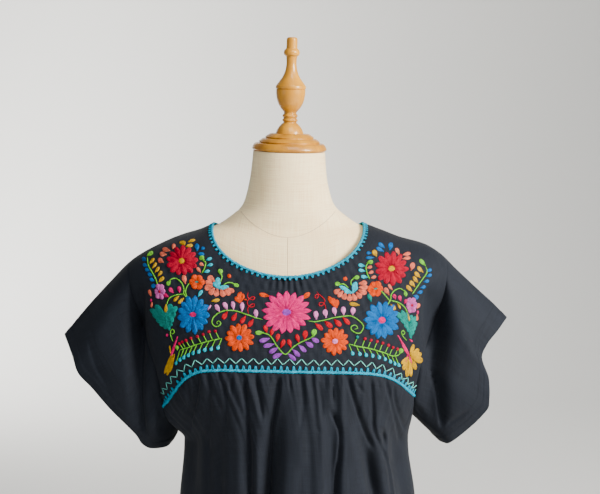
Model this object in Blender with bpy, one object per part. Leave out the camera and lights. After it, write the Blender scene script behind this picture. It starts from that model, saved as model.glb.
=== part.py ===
"""Embroidered blouse on a limbless linen dress form with a turned wooden neck cap.

The garment is a yoke blouse: a yoke front and back cut round a wide neck, a gathered body sewn
under it, and short wide sleeves. It faces -Y with +X to the viewer's right and +Z up. The origin
is the centre of the stand's underside, on the floor. Sizes are in millimetres, and every drop is
measured down from the shoulder line at the neck. Sides are the wearer's: right lies at -X.
"""

import math
from collections import namedtuple

import bmesh
import bpy
import numpy as np

MM = 0.001
FRONT, BACK = -1, 1
RIGHT, LEFT = -1, 1

# Stand and levels
SHOULDER_LEVEL = 880.0
BASE_RADIUS = 150.0
BASE_HEIGHT = 25.0
BASE_EDGE = 8.0
BASE_EDGE_STEPS = 4
POLE_RADIUS = 16.0
BOARD_RADIUS = 88.0
BOARD_HEIGHT = 12.0
TURN_STEPS = 30
POLE_STEPS = 20
SEAT_GAP = 0.3

# Cloth
CLOTH = 1.5
SEAM_PULL = 0.22
SPLIT_DIRECTION = np.array([0.37, 0.11, 1.0])
CORD_RADIUS = 1.4
CORD_GAP = 0.4
CORD_SIDES = 6
CORD_END_TRIM = 4.0

# Shoulder and chest shape
RIDGE_DEPTH = 8.0
ROLL = {FRONT: 45.0, BACK: 30.0}
CHEST_POWER = 2.3
CREASE_ROOM = 45.0
CREASE_FADE = 0.6

# Neckline, yoke and armhole
NECK_HALF = 115.5
NECK_FRONT_DROP = 74.0
NECK_BACK_DROP = 24.0
NECK_POWER = 1.9
NECK_SIDE_ANGLE = 0.62
NECK_SIDE_CROWD = 1.5
YOKE_ROWS = 8
SIDE_COLUMNS = 8
YOKE_COLUMNS = {FRONT: 22, BACK: 18}
ARMHOLE_RUN = 243.0
UNDERARM_STEPS = 4

# Body
SEAM_LEVEL = 206.0
Ring = namedtuple("Ring", "drop centre half front back power")
WAIST_RING = Ring(330, 11.0, 176.0, -148, 118, 2.0)
HEM_RING = Ring(660, 16, 206, -165, 150, 2.3)
RING_SAMPLES = 181
BODY_ROWS = 9
ROW_CROWD = 1.4
GATHER_STEPS = {FRONT: 4, BACK: 3}
GATHER_HEIGHT = 3.0
GATHER_LENGTH = 90.0
PUFF = 7.0
PUFF_START = 12.0
PUFF_END = 220.0
SIDE_SPREAD = 0.3
SIDE_EASE = 0.09
FOLD_READ_DROP = 419.0
FOLD_GROWTH = 130.0
FOLD_SPREAD = 0.35
FOLD_SPREAD_RUN = 200.0

# Sleeves
SLEEVE_ROWS = 8
SLEEVE_PUFF = {FRONT: 12.0, BACK: 10.0}
SLEEVE_FOLD_START = 1 / 3
SLEEVE_CREASE_START = 1 / 8

# Neck cap and finial lean
NECK_LEAN = math.radians(1.6)
NECK_NOD = math.radians(3.5)
LEAN_START = -60.0
FORM_STEPS = 40
SHARP_ANGLE = math.radians(50)

Ridge = namedtuple("Ridge", "run drop")
RIDGE = {
    RIGHT: [Ridge(0, 0), Ridge(115, 3), Ridge(137, 10.5), Ridge(167, 19.6), Ridge(204, 35.5),
            Ridge(240, 56.5), Ridge(277, 93), Ridge(324, 145), Ridge(348, 174.7)],
    LEFT: [Ridge(0, 0), Ridge(115, 2.5), Ridge(142, 10.8), Ridge(172, 22.4), Ridge(211, 33.5),
           Ridge(235, 48), Ridge(258, 70.5), Ridge(297, 107), Ridge(321, 129), Ridge(339, 148.4)],
}

Chest = namedtuple("Chest", "drop front back reach")
CHEST = [
    Chest(0, -66, 90, 275), Chest(20, -73, 95, 272), Chest(45, -82, 101, 266),
    Chest(73, -91.5, 104, 258), Chest(100, -102, 107, 250), Chest(150, -122, 109, 234),
    Chest(200, -135, 107, 222), Chest(230, -137, 105, 212), Chest(262, -134, 101, 202),
]

Edge = namedtuple("Edge", "run drop")
ARMHOLE = [Edge(237, 100), Edge(226, 140), Edge(214, 175), Edge(198, 215)]
YOKE_SEAM = {
    RIGHT: [Edge(0, 206), Edge(35, 205.3), Edge(85, 205.2), Edge(120, 207.7), Edge(136, 213),
            Edge(149.5, 222), Edge(163.5, 239), Edge(175.5, 257.5), Edge(187.5, 274)],
    LEFT: [Edge(0, 206), Edge(64, 207.6), Edge(114, 211), Edge(140, 216.5), Edge(161.5, 228.5),
           Edge(175.5, 241.5), Edge(189.5, 257.5)],
}
UNDERARM = {RIGHT: Edge(165, 314), LEFT: Edge(186, 294)}

Crease = namedtuple("Crease", "run depth width start full end")
ARM_CREASE = {
    RIGHT: Crease(run=222, depth=20, width=14, start=80, full=150, end=340),
    LEFT: Crease(run=226, depth=22, width=17, start=80, full=150, end=320),
}

Cuff = namedtuple("Cuff", "run drop front back")
CUFF = {
    RIGHT: [Cuff(348, 174.7, 5, 5), Cuff(330, 204.4, -25, 30), Cuff(321, 226, -38, 42),
            Cuff(296, 250, -47, 48), Cuff(269.5, 278.5, -53, 50), Cuff(230, 323, -50, 44),
            Cuff(223, 336, -46, 40), Cuff(211.5, 344, -38, 34), Cuff(189, 346.5, -16, 18),
            Cuff(181, 342, 8, 8)],
    LEFT: [Cuff(339, 148.4, 5, 5), Cuff(320, 165, -22, 24), Cuff(301.6, 183.7, -40, 38),
           Cuff(293, 202, -48, 44), Cuff(303, 236, -55, 50), Cuff(304, 256, -55, 50),
           Cuff(304, 273.4, -52, 48), Cuff(294, 290, -50, 46), Cuff(250, 332, -42, 38),
           Cuff(243, 337, -34, 30), Cuff(235, 337.5, -18, 18), Cuff(228, 332, 8, 8)],
}

# A fold is a soft valley: where it leaves the seam and where it passes FOLD_READ_DROP
Fold = namedtuple("Fold", "seam low depth width start")
BODY_FOLDS = {
    FRONT: [
        Fold(-124, -150, 7, 11, 225), Fold(-111, -116, 5, 9, 215), Fold(-96, -100, 4, 8, 215),
        Fold(-60, -54, 9, 9, 215), Fold(-36, -30, 4, 9, 215), Fold(-11, -27, 20, 12, 225),
        Fold(31, 33, 4, 9, 215), Fold(63, 65, 12, 9, 215), Fold(81, 137, 13, 10, 225),
        Fold(113, 128, 9, 9, 235), Fold(134, 178, 12, 11, 235), Fold(-150, -132, 5, 12, 300),
    ],
    BACK: [
        Fold(-128, -140, 9, 12, 225), Fold(-84, -96, 14, 12, 225), Fold(-47, -44, 8, 10, 215),
        Fold(-6, 8, 17, 13, 225), Fold(40, 52, 8, 10, 215), Fold(79, 84, 13, 11, 225),
        Fold(118, 144, 11, 12, 230),
    ],
}

# Folds of a sleeve run from armhole to cuff; place counts steps round the loop from the ridge
SleeveFold = namedtuple("SleeveFold", "place depth width")
SLEEVE_FOLDS = {
    RIGHT: [SleeveFold(3.2, 4, 1.1), SleeveFold(17.5, 5, 1.2), SleeveFold(21.0, 4, 1.0)],
    LEFT: [SleeveFold(3.0, 5, 1.1), SleeveFold(8.6, 4, 1.0), SleeveFold(17.0, 5, 1.2),
           SleeveFold(20.6, 4, 1.1)],
}

FormLevel = namedtuple("FormLevel", "drop half front back")
FORM = [
    FormLevel(-109, 55, -50, 60), FormLevel(-90, 56.5, -51, 62), FormLevel(-70, 58.8, -52, 64),
    FormLevel(-45, 64, -53, 68), FormLevel(-30, 69, -54, 71), FormLevel(-20, 76, -55, 73),
    FormLevel(-10, 88, -56, 75), FormLevel(-2, 99, -57, 77), FormLevel(2, 105, -57, 78),
    FormLevel(5, 112, -57, 79), FormLevel(9, 125, -58, 80), FormLevel(16, 146, -63, 82),
    FormLevel(24, 164, -69, 86), FormLevel(33, 173, -74, 90), FormLevel(45, 178, -79, 94),
    FormLevel(60, 180, -84, 98),
    FormLevel(100, 172, -98.5, 102), FormLevel(150, 162, -118, 104),
    FormLevel(200, 156, -131, 103), FormLevel(250, 151, -128, 97), FormLevel(300, 142, -112, 88),
    FormLevel(350, 130, -98, 80), FormLevel(400, 122, -92, 78), FormLevel(450, 130, -97, 88),
    FormLevel(520, 152, -106, 106), FormLevel(600, 169, -112, 118), FormLevel(650, 170, -108, 114),
    FormLevel(700, 165, -100, 104),
]

Turn = namedtuple("Turn", "height radius")
CAP_PROFILE = [
    Turn(0, 53), Turn(1.6, 56.2), Turn(3.4, 57.2), Turn(6.6, 56.2), Turn(12.0, 51.2),
    Turn(12.8, 46.8), Turn(15.5, 45.4), Turn(19.0, 40.0), Turn(19.8, 37.4), Turn(22.5, 35.6),
    Turn(26.2, 29.7),
]
FINIAL_PROFILE = [
    Turn(0, 21.4), Turn(5, 19.6), Turn(10.4, 16.4), Turn(14.2, 12.9), Turn(17, 10), Turn(20.5, 12),
    Turn(23.1, 10), Turn(26.9, 11.8), Turn(30.8, 9.5), Turn(38.4, 14.8), Turn(46.1, 19.1),
    Turn(53.7, 21.3), Turn(61.3, 22.3), Turn(67, 22.3), Turn(68.3, 23.1), Turn(71.5, 22.8),
    Turn(75, 20.6), Turn(79.2, 17.5), Turn(85.5, 13.2), Turn(91.9, 10.3), Turn(98.3, 8.6),
    Turn(107.2, 7.7), Turn(115.5, 8.3), Turn(118.7, 11.4), Turn(121.8, 12.2), Turn(125, 11.4),
    Turn(129.1, 8.4), Turn(141.6, 8.3), Turn(144.1, 7), Turn(145, 5),
]

Finish = namedtuple("Finish", "colour roughness metallic")
COTTON = Finish((0.012, 0.014, 0.019), 0.85, 0.0)
EDGING = Finish((0.0, 0.22, 0.44), 0.7, 0.0)
LINEN = Finish((0.66, 0.58, 0.47), 0.9, 0.0)
WOOD = Finish((0.56, 0.30, 0.09), 0.4, 0.0)


def column(table, name):
    """The values of one named column of a table."""
    return np.array([getattr(row, name) for row in table], dtype=float)


def eased(xs, ys, at):
    """Value at `at` of the smooth curve through (xs, ys), which never overshoots its points."""
    steps = np.diff(xs)
    rises = np.diff(ys) / steps
    slopes = np.zeros(len(xs))
    slopes[0], slopes[-1] = rises[0], rises[-1]
    for i in range(1, len(xs) - 1):
        before, after = rises[i - 1], rises[i]
        if before * after > 0:
            weight_a = 2 * steps[i] + steps[i - 1]
            weight_b = steps[i] + 2 * steps[i - 1]
            slopes[i] = (weight_a + weight_b) / (weight_a / before + weight_b / after)
    at = np.clip(np.asarray(at, dtype=float), xs[0], xs[-1])
    i = np.clip(np.searchsorted(xs, at, side="right") - 1, 0, len(steps) - 1)
    t = (at - xs[i]) / steps[i]
    return (ys[i] * (1 + 2 * t) * (1 - t) ** 2 + steps[i] * slopes[i] * t * (1 - t) ** 2
            + ys[i + 1] * t ** 2 * (3 - 2 * t) + steps[i] * slopes[i + 1] * t ** 2 * (t - 1))


def look_up(table, key, name, at):
    """Eased value of the column `name` where the column `key` reads `at`."""
    return eased(column(table, key), column(table, name), at)


def lengths_along(points):
    """Distance along a polyline at each of its points."""
    legs = np.linalg.norm(np.diff(points, axis=0), axis=1)
    return np.concatenate([[0.0], np.cumsum(legs)])


def resampled(points, fractions):
    """Points at fractions of the length of the eased curve through a few points."""
    points = np.asarray(points, dtype=float)
    along = lengths_along(points)
    at = np.asarray(fractions) * along[-1]
    return np.stack([eased(along, points[:, axis], at) for axis in range(points.shape[1])], axis=-1)


def smooth_step(t):
    """0 below 0, 1 above 1, and a soft S between."""
    t = np.clip(t, 0, 1)
    return t * t * (3 - 2 * t)


def point(x, y, drop):
    return np.array([x, y, SHOULDER_LEVEL - drop])


def side_of(x):
    return LEFT if x > 0 else RIGHT


def ridge_drop(x):
    """Drop of the line along the top of shoulder and sleeve."""
    return look_up(RIDGE[side_of(x)], "run", "drop", abs(x))


def crease_depth(x, y, drop):
    """How far the cloth sinks where it falls from the shoulder in front of the arm."""
    crease = ARM_CREASE[side_of(x)]
    across = math.exp(-((abs(x) - crease.run) / crease.width) ** 2)
    down = smooth_step((drop - crease.start) / (crease.full - crease.start))
    fade = 1 - smooth_step((drop - crease.full) / (crease.end - crease.full)) * CREASE_FADE
    room = min(1.0, abs(y - RIDGE_DEPTH) / CREASE_ROOM)
    return crease.depth * across * down * fade * room


def panel_depth(x, drop, face):
    """Y of the cloth's outer side on the chest or back."""
    full = look_up(CHEST, "drop", "front" if face == FRONT else "back", drop)
    reach = look_up(CHEST, "drop", "reach", drop)
    across = min(abs(x) / reach, 1.0)
    full *= (1 - across ** CHEST_POWER) ** (1 / CHEST_POWER)
    below = max(drop - ridge_drop(x), 0.0)
    roll = math.sqrt(1 - (1 - min(below / ROLL[face], 1.0)) ** 2)
    y = RIDGE_DEPTH + (full - RIDGE_DEPTH) * roll
    return y - face * crease_depth(x, y, drop)


def neckline(angle, face):
    """Neck edge at an angle that runs from the right shoulder, 0, to the left, pi."""
    power = 2 / NECK_POWER
    lowest = NECK_FRONT_DROP if face == FRONT else NECK_BACK_DROP
    x = -NECK_HALF * math.copysign(abs(math.cos(angle)) ** power, math.cos(angle))
    start = ridge_drop(math.copysign(NECK_HALF, x))
    return x, start + (lowest - start) * abs(math.sin(angle)) ** power


def armhole(side, step):
    """Armhole edge as (x, drop), from the ridge at step 0 to the yoke's corner."""
    corner = YOKE_SEAM[side][-1]
    top = Edge(ARMHOLE_RUN, ridge_drop(side * ARMHOLE_RUN))
    drop = top.drop + (corner.drop - top.drop) * (step / SIDE_COLUMNS) ** 2
    return side * look_up([top] + ARMHOLE + [corner], "drop", "run", drop), drop


def yoke_outline(face):
    """Inner and outer (x, drop) of each yoke column, from the right shoulder to the left."""
    middle = YOKE_COLUMNS[face]
    seam_points = [(-edge.run, edge.drop) for edge in YOKE_SEAM[RIGHT][:0:-1]]
    seam_points += [(edge.run, edge.drop) for edge in YOKE_SEAM[LEFT]]
    seam = resampled(seam_points, np.linspace(0, 1, middle + 1))
    side_angles = [NECK_SIDE_ANGLE * (k / SIDE_COLUMNS) ** NECK_SIDE_CROWD
                   for k in range(SIDE_COLUMNS)]
    middle_angles = np.linspace(NECK_SIDE_ANGLE, math.pi - NECK_SIDE_ANGLE, middle + 1)
    angles = side_angles + list(middle_angles) + [math.pi - angle for angle in side_angles[::-1]]
    outer = [armhole(RIGHT, step) for step in range(SIDE_COLUMNS)]
    outer += [tuple(row) for row in seam]
    outer += [armhole(LEFT, step) for step in range(SIDE_COLUMNS - 1, -1, -1)]
    return [neckline(angle, face) for angle in angles], outer


def yoke_grid(face):
    """Rows from neck to seam and armhole, columns from the right shoulder to the left."""
    inner, outer = yoke_outline(face)
    rows = []
    for row in range(YOKE_ROWS + 1):
        part = row / YOKE_ROWS
        line = []
        for (x_in, drop_in), (x_out, drop_out) in zip(inner, outer):
            x = x_in + (x_out - x_in) * part
            below_in = drop_in - ridge_drop(x_in)
            below_out = drop_out - ridge_drop(x_out)
            drop = ridge_drop(x) + below_in + (below_out - below_in) * part
            line.append(point(x, panel_depth(x, drop, face), drop))
        rows.append(line)
    grid = np.array(rows)
    return grid if face == FRONT else grid[:, ::-1]


def lower_armhole(side, corner):
    """Armhole below the yoke's corner, from the corner to the underarm."""
    end = UNDERARM[side]
    points = []
    for step in range(UNDERARM_STEPS + 1):
        turn = step / UNDERARM_STEPS * math.pi / 2
        inward, down = 1 - math.cos(turn), math.sin(turn)
        x = corner[0] + (side * end.run - corner[0]) * inward
        y = corner[1] + (RIDGE_DEPTH - corner[1]) * inward
        drop = SHOULDER_LEVEL - corner[2]
        points.append(point(x, y, drop + (end.drop - drop) * down))
    return points


def seam_of(yoke):
    """The yoke's own points along the seam to the body."""
    return yoke[-1, SIDE_COLUMNS:yoke.shape[1] - SIDE_COLUMNS]


def ring_point(ring, fraction, face):
    """Point of a level ring at a fraction of the way from the right side seam to the left."""
    angles = np.linspace(0, math.pi, RING_SAMPLES)
    power = 2 / ring.power
    cosines, sines = np.cos(angles), np.sin(angles)
    depth = ring.front if face == FRONT else ring.back
    xs = ring.centre - ring.half * np.sign(cosines) * np.abs(cosines) ** power
    ys = RIDGE_DEPTH + (depth - RIDGE_DEPTH) * sines ** power
    along = lengths_along(np.stack([xs, ys], axis=-1))
    at = fraction * along[-1]
    return np.array([np.interp(at, along, xs), np.interp(at, along, ys)])


def fold_depth(x, drop, face):
    """Depth of the body's valleys at a place on the front or back."""
    total = 0.0
    for fold in BODY_FOLDS[face]:
        hem = fold.low + (fold.low - fold.seam) * FOLD_SPREAD
        centre = np.interp(drop, [SEAM_LEVEL, FOLD_READ_DROP, HEM_RING.drop],
                           [fold.seam, fold.low, hem])
        grown = smooth_step((drop - fold.start) / FOLD_GROWTH)
        spread = smooth_step((drop - FOLD_READ_DROP) / FOLD_SPREAD_RUN)
        width = fold.width * (1 + FOLD_SPREAD * spread)
        total += fold.depth * grown * math.exp(-((x - centre) / width) ** 2)
    return total


def body_grid(face, yoke):
    """Rows from the yoke to the hem, columns from one side seam to the other."""
    steps = GATHER_STEPS[face]
    seam = seam_of(yoke)
    first_side, last_side = (RIGHT, LEFT) if face == FRONT else (LEFT, RIGHT)
    top = lower_armhole(first_side, seam[0])[::-1]
    for start, end in zip(seam[:-1], seam[1:]):
        top += [start + (end - start) * step / steps for step in range(1, steps + 1)]
    top += lower_armhole(last_side, seam[-1])[1:]
    top = np.array(top)
    fractions = lengths_along(top) / lengths_along(top)[-1]
    parts = (np.arange(BODY_ROWS + 1) / BODY_ROWS) ** ROW_CROWD
    columns = []
    for index, (start, fraction) in enumerate(zip(top, fractions)):
        from_right = fraction if face == FRONT else 1 - fraction
        start_drop = SHOULDER_LEVEL - start[2]
        levels = np.array([start_drop, WAIST_RING.drop, HEM_RING.drop])
        waist, hem = (ring_point(ring, from_right, face) for ring in (WAIST_RING, HEM_RING))
        drops = start_drop + (HEM_RING.drop - start_drop) * parts
        xs = eased(levels, np.array([start[0], waist[0], hem[0]]), drops)
        ys = eased(levels, np.array([start[1], waist[1], hem[1]]), drops)
        edge = smooth_step(min(fraction, 1 - fraction) / SIDE_EASE)
        line = [start]
        for x, y, drop in list(zip(xs, ys, drops))[1:]:
            hang = drop - start_drop
            puff = PUFF * (1 - math.exp(-hang / PUFF_START)) * math.exp(-hang / PUFF_END)
            wave = math.cos(2 * math.pi * (index - UNDERARM_STEPS) / steps)
            wave *= GATHER_HEIGHT * math.exp(-hang / GATHER_LENGTH)
            out = np.array([(x - WAIST_RING.centre) * SIDE_SPREAD, y - RIDGE_DEPTH, 0])
            out /= np.linalg.norm(out)
            place = point(x, y, drop)
            line.append(place + out * edge * (puff - wave - fold_depth(x, drop, face)))
        columns.append(line)
    return np.array(columns).swapaxes(0, 1)


def armhole_loop(side, yokes):
    """Ring of points round an armhole: down the front from the ridge, then up the back."""
    ring = []
    for face, yoke in yokes.items():
        columns = yoke[-1]
        at_start = (side == RIGHT) == (face == FRONT)
        upper = columns[:SIDE_COLUMNS + 1] if at_start else columns[::-1][:SIDE_COLUMNS + 1]
        lower = lower_armhole(side, upper[-1])
        half = list(upper) + lower[1:]
        ring += half[:-1] if face == FRONT else half[:0:-1]
    return np.array(ring)


def cuff_loop(side, half_steps):
    """Ring of points round a cuff, in step with the armhole's."""
    rings = []
    for face, name in ((FRONT, "front"), (BACK, "back")):
        line = [point(side * row.run, getattr(row, name), row.drop) for row in CUFF[side]]
        half = resampled(line, np.linspace(0, 1, half_steps + 1))
        rings.append(half[:-1] if face == FRONT else half[:0:-1])
    return np.concatenate(rings)


def sleeve_grid(side, yokes):
    """Rows from armhole to cuff; the columns close round the arm."""
    start = armhole_loop(side, yokes)
    count = len(start)
    half = count // 2
    end = cuff_loop(side, half)
    rows = []
    for row in range(SLEEVE_ROWS + 1):
        part = row / SLEEVE_ROWS
        line = []
        for k in range(count):
            place = start[k] + (end[k] - start[k]) * part
            chord = start[0] + (end[0] - start[0]) * part
            lift = SHOULDER_LEVEL - ridge_drop(chord[0]) - chord[2]
            from_ridge = min(k, count - k) / half
            face = FRONT if 0 < k < half else BACK
            middle = math.sin(math.pi * part)
            round_arm = math.sin(math.pi * from_ridge)
            place[2] += lift * (1 - from_ridge) ** 2
            sink = sum(fold.depth * math.exp(-((k - fold.place) / fold.width) ** 2)
                       for fold in SLEEVE_FOLDS[side]) * smooth_step(part / SLEEVE_FOLD_START)
            valley = crease_depth(place[0], place[1], SHOULDER_LEVEL - place[2])
            valley *= smooth_step(part / SLEEVE_CREASE_START)
            swell = SLEEVE_PUFF[face] * middle * round_arm
            place[1] += face * (swell - (sink + valley) * round_arm)
            line.append(place)
        rows.append(line)
    return np.array(rows)


def grid_normals(grid, closed, sign=1):
    """Outward unit normals of a grid of points."""
    if closed:
        along = np.roll(grid, -1, axis=1) - np.roll(grid, 1, axis=1)
    else:
        along = np.gradient(grid, axis=1)
    down = np.gradient(grid, axis=0)
    normals = np.cross(down, along) * sign
    return normals / np.linalg.norm(normals, axis=2, keepdims=True)


def place_key(place):
    return tuple(np.round(place, 2))


def share_normals(panels):
    """Give points that panels share one normal, the mean of those of each sort of panel."""
    totals = {}
    for name, (grid, normals) in panels.items():
        sort = name.split("_")[0]
        for place, normal in zip(grid.reshape(-1, 3), normals.reshape(-1, 3)):
            sorts = totals.setdefault(place_key(place), {})
            sorts[sort] = sorts.get(sort, 0) + normal
    for grid, normals in panels.values():
        for index in np.ndindex(grid.shape[:2]):
            sums = totals[place_key(grid[index])].values()
            total = sum(normal / np.linalg.norm(normal) for normal in sums)
            normals[index] = total / np.linalg.norm(total)


def match_seam_normals(normals, steps):
    """Between the yoke's points, the body's top edge leans as the yoke does."""
    first, last = UNDERARM_STEPS, normals.shape[1] - 1 - UNDERARM_STEPS
    for start in range(first, last, steps):
        for step in range(1, steps):
            mixed = normals[0, start] + (normals[0, start + steps] - normals[0, start]) * step / steps
            normals[0, start + step] = mixed / np.linalg.norm(mixed)


def inward_steps(grid, edges):
    """Unit steps from the points of sewn edges into the panel, by place in the grid."""
    rows, cols = grid.shape[:2]
    steps = {}
    for edge in edges:
        for index in np.ndindex(rows, cols):
            i, j = index
            if edge == "top" and i == 0:
                step = grid[1, j] - grid[0, j]
            elif edge == "bottom" and i == rows - 1:
                step = grid[-2, j] - grid[-1, j]
            elif edge == "start" and j == 0:
                step = grid[i, 1] - grid[i, 0]
            elif edge == "end" and j == cols - 1:
                step = grid[i, -2] - grid[i, -1]
            else:
                continue
            steps[index] = steps.get(index, 0) + step / np.linalg.norm(step)
    return steps


def part_seams(panels):
    """Draw sewn edges apart, each away from the panels that share its points."""
    meetings = {}
    for name, (grid, edges) in panels.items():
        for index, step in inward_steps(grid, edges).items():
            meetings.setdefault(place_key(grid[index]), []).append((name, index, step))
    moved = {name: grid.copy() for name, (grid, _) in panels.items()}
    for group in meetings.values():
        for name, index, step in group:
            others = [other for other_name, _, other in group if other_name != name]
            away = step - sum(others) / len(others) if others else step
            moved[name][index] += away / np.linalg.norm(away) * SEAM_PULL
    return moved


def material_of(name, finish):
    """Principled material, made once for each name."""
    if name in bpy.data.materials:
        return bpy.data.materials[name]
    material = bpy.data.materials.new(name)
    material.use_nodes = True
    shader = material.node_tree.nodes["Principled BSDF"]
    shader.inputs["Base Color"].default_value = (*finish.colour, 1)
    shader.inputs["Roughness"].default_value = finish.roughness
    shader.inputs["Metallic"].default_value = finish.metallic
    return material


def add_object(name, points, faces, material):
    """Mesh object from points in millimetres, with its faces turned outward."""
    mesh = bpy.data.meshes.new(name)
    mesh.from_pydata((np.asarray(points) * MM).tolist(), [], faces)
    shape = bmesh.new()
    shape.from_mesh(mesh)
    bmesh.ops.recalc_face_normals(shape, faces=shape.faces)
    shape.to_mesh(mesh)
    shape.free()
    mesh.shade_smooth()
    mesh.set_sharp_from_angle(angle=SHARP_ANGLE)
    mesh.materials.append(material)
    thing = bpy.data.objects.new(name, mesh)
    bpy.context.scene.collection.objects.link(thing)
    return thing


def edge_strip(points, a, b, depth):
    """Two faces across a wall's cut edge, split alike on both sides of a seam."""
    high, low = (a, b) if points[a] @ SPLIT_DIRECTION > points[b] @ SPLIT_DIRECTION else (b, a)
    return [(high, low, low + depth), (high, low + depth, high + depth)]


def wall(name, outer, normals, material, closed=False):
    """Cloth wall under a grid of outer points, open at its ends and one body all round."""
    rows, cols = outer.shape[:2]
    inner = outer - normals * CLOTH
    points = np.concatenate([outer.reshape(-1, 3), inner.reshape(-1, 3)])
    depth = rows * cols
    wraps = cols if closed else cols - 1
    faces = []
    for i in range(rows - 1):
        for j in range(wraps):
            a, b = i * cols + j, i * cols + (j + 1) % cols
            faces.append((a, b, b + cols, a + cols))
            faces.append((a + depth, a + cols + depth, b + cols + depth, b + depth))
    last = (rows - 1) * cols
    for j in range(wraps):
        k = (j + 1) % cols
        faces += edge_strip(points, j, k, depth)
        faces += edge_strip(points, last + j, last + k, depth)
    if not closed:
        for i in range(rows - 1):
            start, below = i * cols, (i + 1) * cols
            faces += edge_strip(points, start, below, depth)
            faces += edge_strip(points, start + cols - 1, below + cols - 1, depth)
    return add_object(name, points, faces, material)


def cord(name, line, normals, material, closed=False):
    """Six-sided cord that lies on the cloth along a line of its outer points."""
    line = line + normals * (CORD_RADIUS + CORD_GAP)
    if closed:
        heading = np.roll(line, -1, axis=0) - np.roll(line, 1, axis=0)
    else:
        heading = np.gradient(line, axis=0)
    heading /= np.linalg.norm(heading, axis=1, keepdims=True)
    across = np.cross(heading, normals)
    across /= np.linalg.norm(across, axis=1, keepdims=True)
    up = np.cross(across, heading)
    points, faces = [], []
    for place, side, top in zip(line, across, up):
        for k in range(CORD_SIDES):
            angle = 2 * math.pi * k / CORD_SIDES
            points.append(place + (side * math.cos(angle) + top * math.sin(angle)) * CORD_RADIUS)
    rings = len(line)
    for i in range(rings if closed else rings - 1):
        for k in range(CORD_SIDES):
            a, b = i * CORD_SIDES, (i + 1) % rings * CORD_SIDES
            m = (k + 1) % CORD_SIDES
            faces.append((a + k, b + k, b + m, a + m))
    if not closed:
        faces.append(tuple(range(CORD_SIDES)))
        faces.append(tuple(range((rings - 1) * CORD_SIDES, rings * CORD_SIDES)))
    return add_object(name, points, faces, material)


def build_blouse():
    """Yokes, gathered body, sleeves and the two edging cords."""
    cotton = material_of("black cotton", COTTON)
    edging = material_of("turquoise edging", EDGING)
    yokes = {face: yoke_grid(face) for face in (FRONT, BACK)}
    panels = {}
    for face, title in ((FRONT, "front"), (BACK, "back")):
        panels["yoke_" + title] = (yokes[face], ("bottom", "start", "end"))
        panels["body_" + title] = (body_grid(face, yokes[face]), ("top", "start", "end"))
    for side, title in ((RIGHT, "right"), (LEFT, "left")):
        panels["sleeve_" + title] = (sleeve_grid(side, yokes), ("top",))
    sleeve_sign = {"sleeve_right": -RIGHT, "sleeve_left": -LEFT}
    normals = {name: grid_normals(grid, name in sleeve_sign, sleeve_sign.get(name, 1))
               for name, (grid, _) in panels.items()}
    share_normals({name: (grid, normals[name]) for name, (grid, _) in panels.items()})
    match_seam_normals(normals["body_front"], GATHER_STEPS[FRONT])
    match_seam_normals(normals["body_back"], GATHER_STEPS[BACK])
    parted = part_seams(panels)
    for name, grid in parted.items():
        wall(name, grid, normals[name], cotton, closed=name in sleeve_sign)
    neck = np.concatenate([yokes[FRONT][0][:-1], yokes[BACK][0][:-1]])
    neck_up = np.concatenate([normals["yoke_front"][0][:-1], normals["yoke_back"][0][:-1]])
    cord("neck_edging", neck, neck_up, edging, closed=True)
    seam = seam_of(yokes[FRONT]).copy()
    seam_up = seam_of(normals["yoke_front"]).copy()
    for end, inner in ((0, 1), (-1, -2)):
        share = CORD_END_TRIM / np.linalg.norm(seam[inner] - seam[end])
        seam[end] += (seam[inner] - seam[end]) * share
        seam_up[end] += (seam_up[inner] - seam_up[end]) * share
    cord("yoke_edging", seam, seam_up, edging)


def form_ring(drop):
    """Oval section of the dress form, tipped with the neck above LEAN_START."""
    half = look_up(FORM, "drop", "half", drop)
    front = look_up(FORM, "drop", "front", drop)
    back = look_up(FORM, "drop", "back", drop)
    tip = smooth_step((LEAN_START - drop) / (LEAN_START - FORM[0].drop))
    ring = []
    for k in range(FORM_STEPS):
        angle = 2 * math.pi * k / FORM_STEPS
        x = half * math.cos(angle)
        y = (front + back) / 2 + (back - front) / 2 * math.sin(angle)
        rise = (y * math.tan(NECK_NOD) - x * math.tan(NECK_LEAN)) * tip
        lean = max(0.0, LEAN_START - drop) * math.tan(NECK_LEAN)
        ring.append(point(x + lean, y, drop - rise))
    return ring


def build_form():
    """Linen torso from neck to hips, smooth and whole."""
    rings = [form_ring(level.drop) for level in FORM]
    points = np.concatenate(rings)
    faces = [tuple(range(FORM_STEPS))]
    for i in range(len(rings) - 1):
        for k in range(FORM_STEPS):
            a, b = i * FORM_STEPS, (i + 1) * FORM_STEPS
            m = (k + 1) % FORM_STEPS
            faces.append((a + k, a + m, b + m, b + k))
    faces.append(tuple(range(len(points) - FORM_STEPS, len(points))))
    add_object("form", points, faces, material_of("linen", LINEN))


def turned(name, profile, centre, lean, nod, steps):
    """Turned wooden piece on an axis through `centre` that leans to +X and nods forward."""
    points, faces = [], []
    for turn in profile:
        for k in range(steps):
            angle = 2 * math.pi * k / steps
            x, y, z = turn.radius * math.cos(angle), turn.radius * math.sin(angle), turn.height
            y, z = y * math.cos(nod) - z * math.sin(nod), y * math.sin(nod) + z * math.cos(nod)
            x, z = x * math.cos(lean) + z * math.sin(lean), z * math.cos(lean) - x * math.sin(lean)
            points.append(centre + np.array([x, y, z]))
    for i in range(len(profile) - 1):
        for k in range(steps):
            a, b = i * steps, (i + 1) * steps
            m = (k + 1) % steps
            faces.append((a + k, a + m, b + m, b + k))
    faces.append(tuple(range(steps)))
    faces.append(tuple(range(len(points) - steps, len(points))))
    add_object(name, points, faces, material_of("varnished wood", WOOD))


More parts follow.
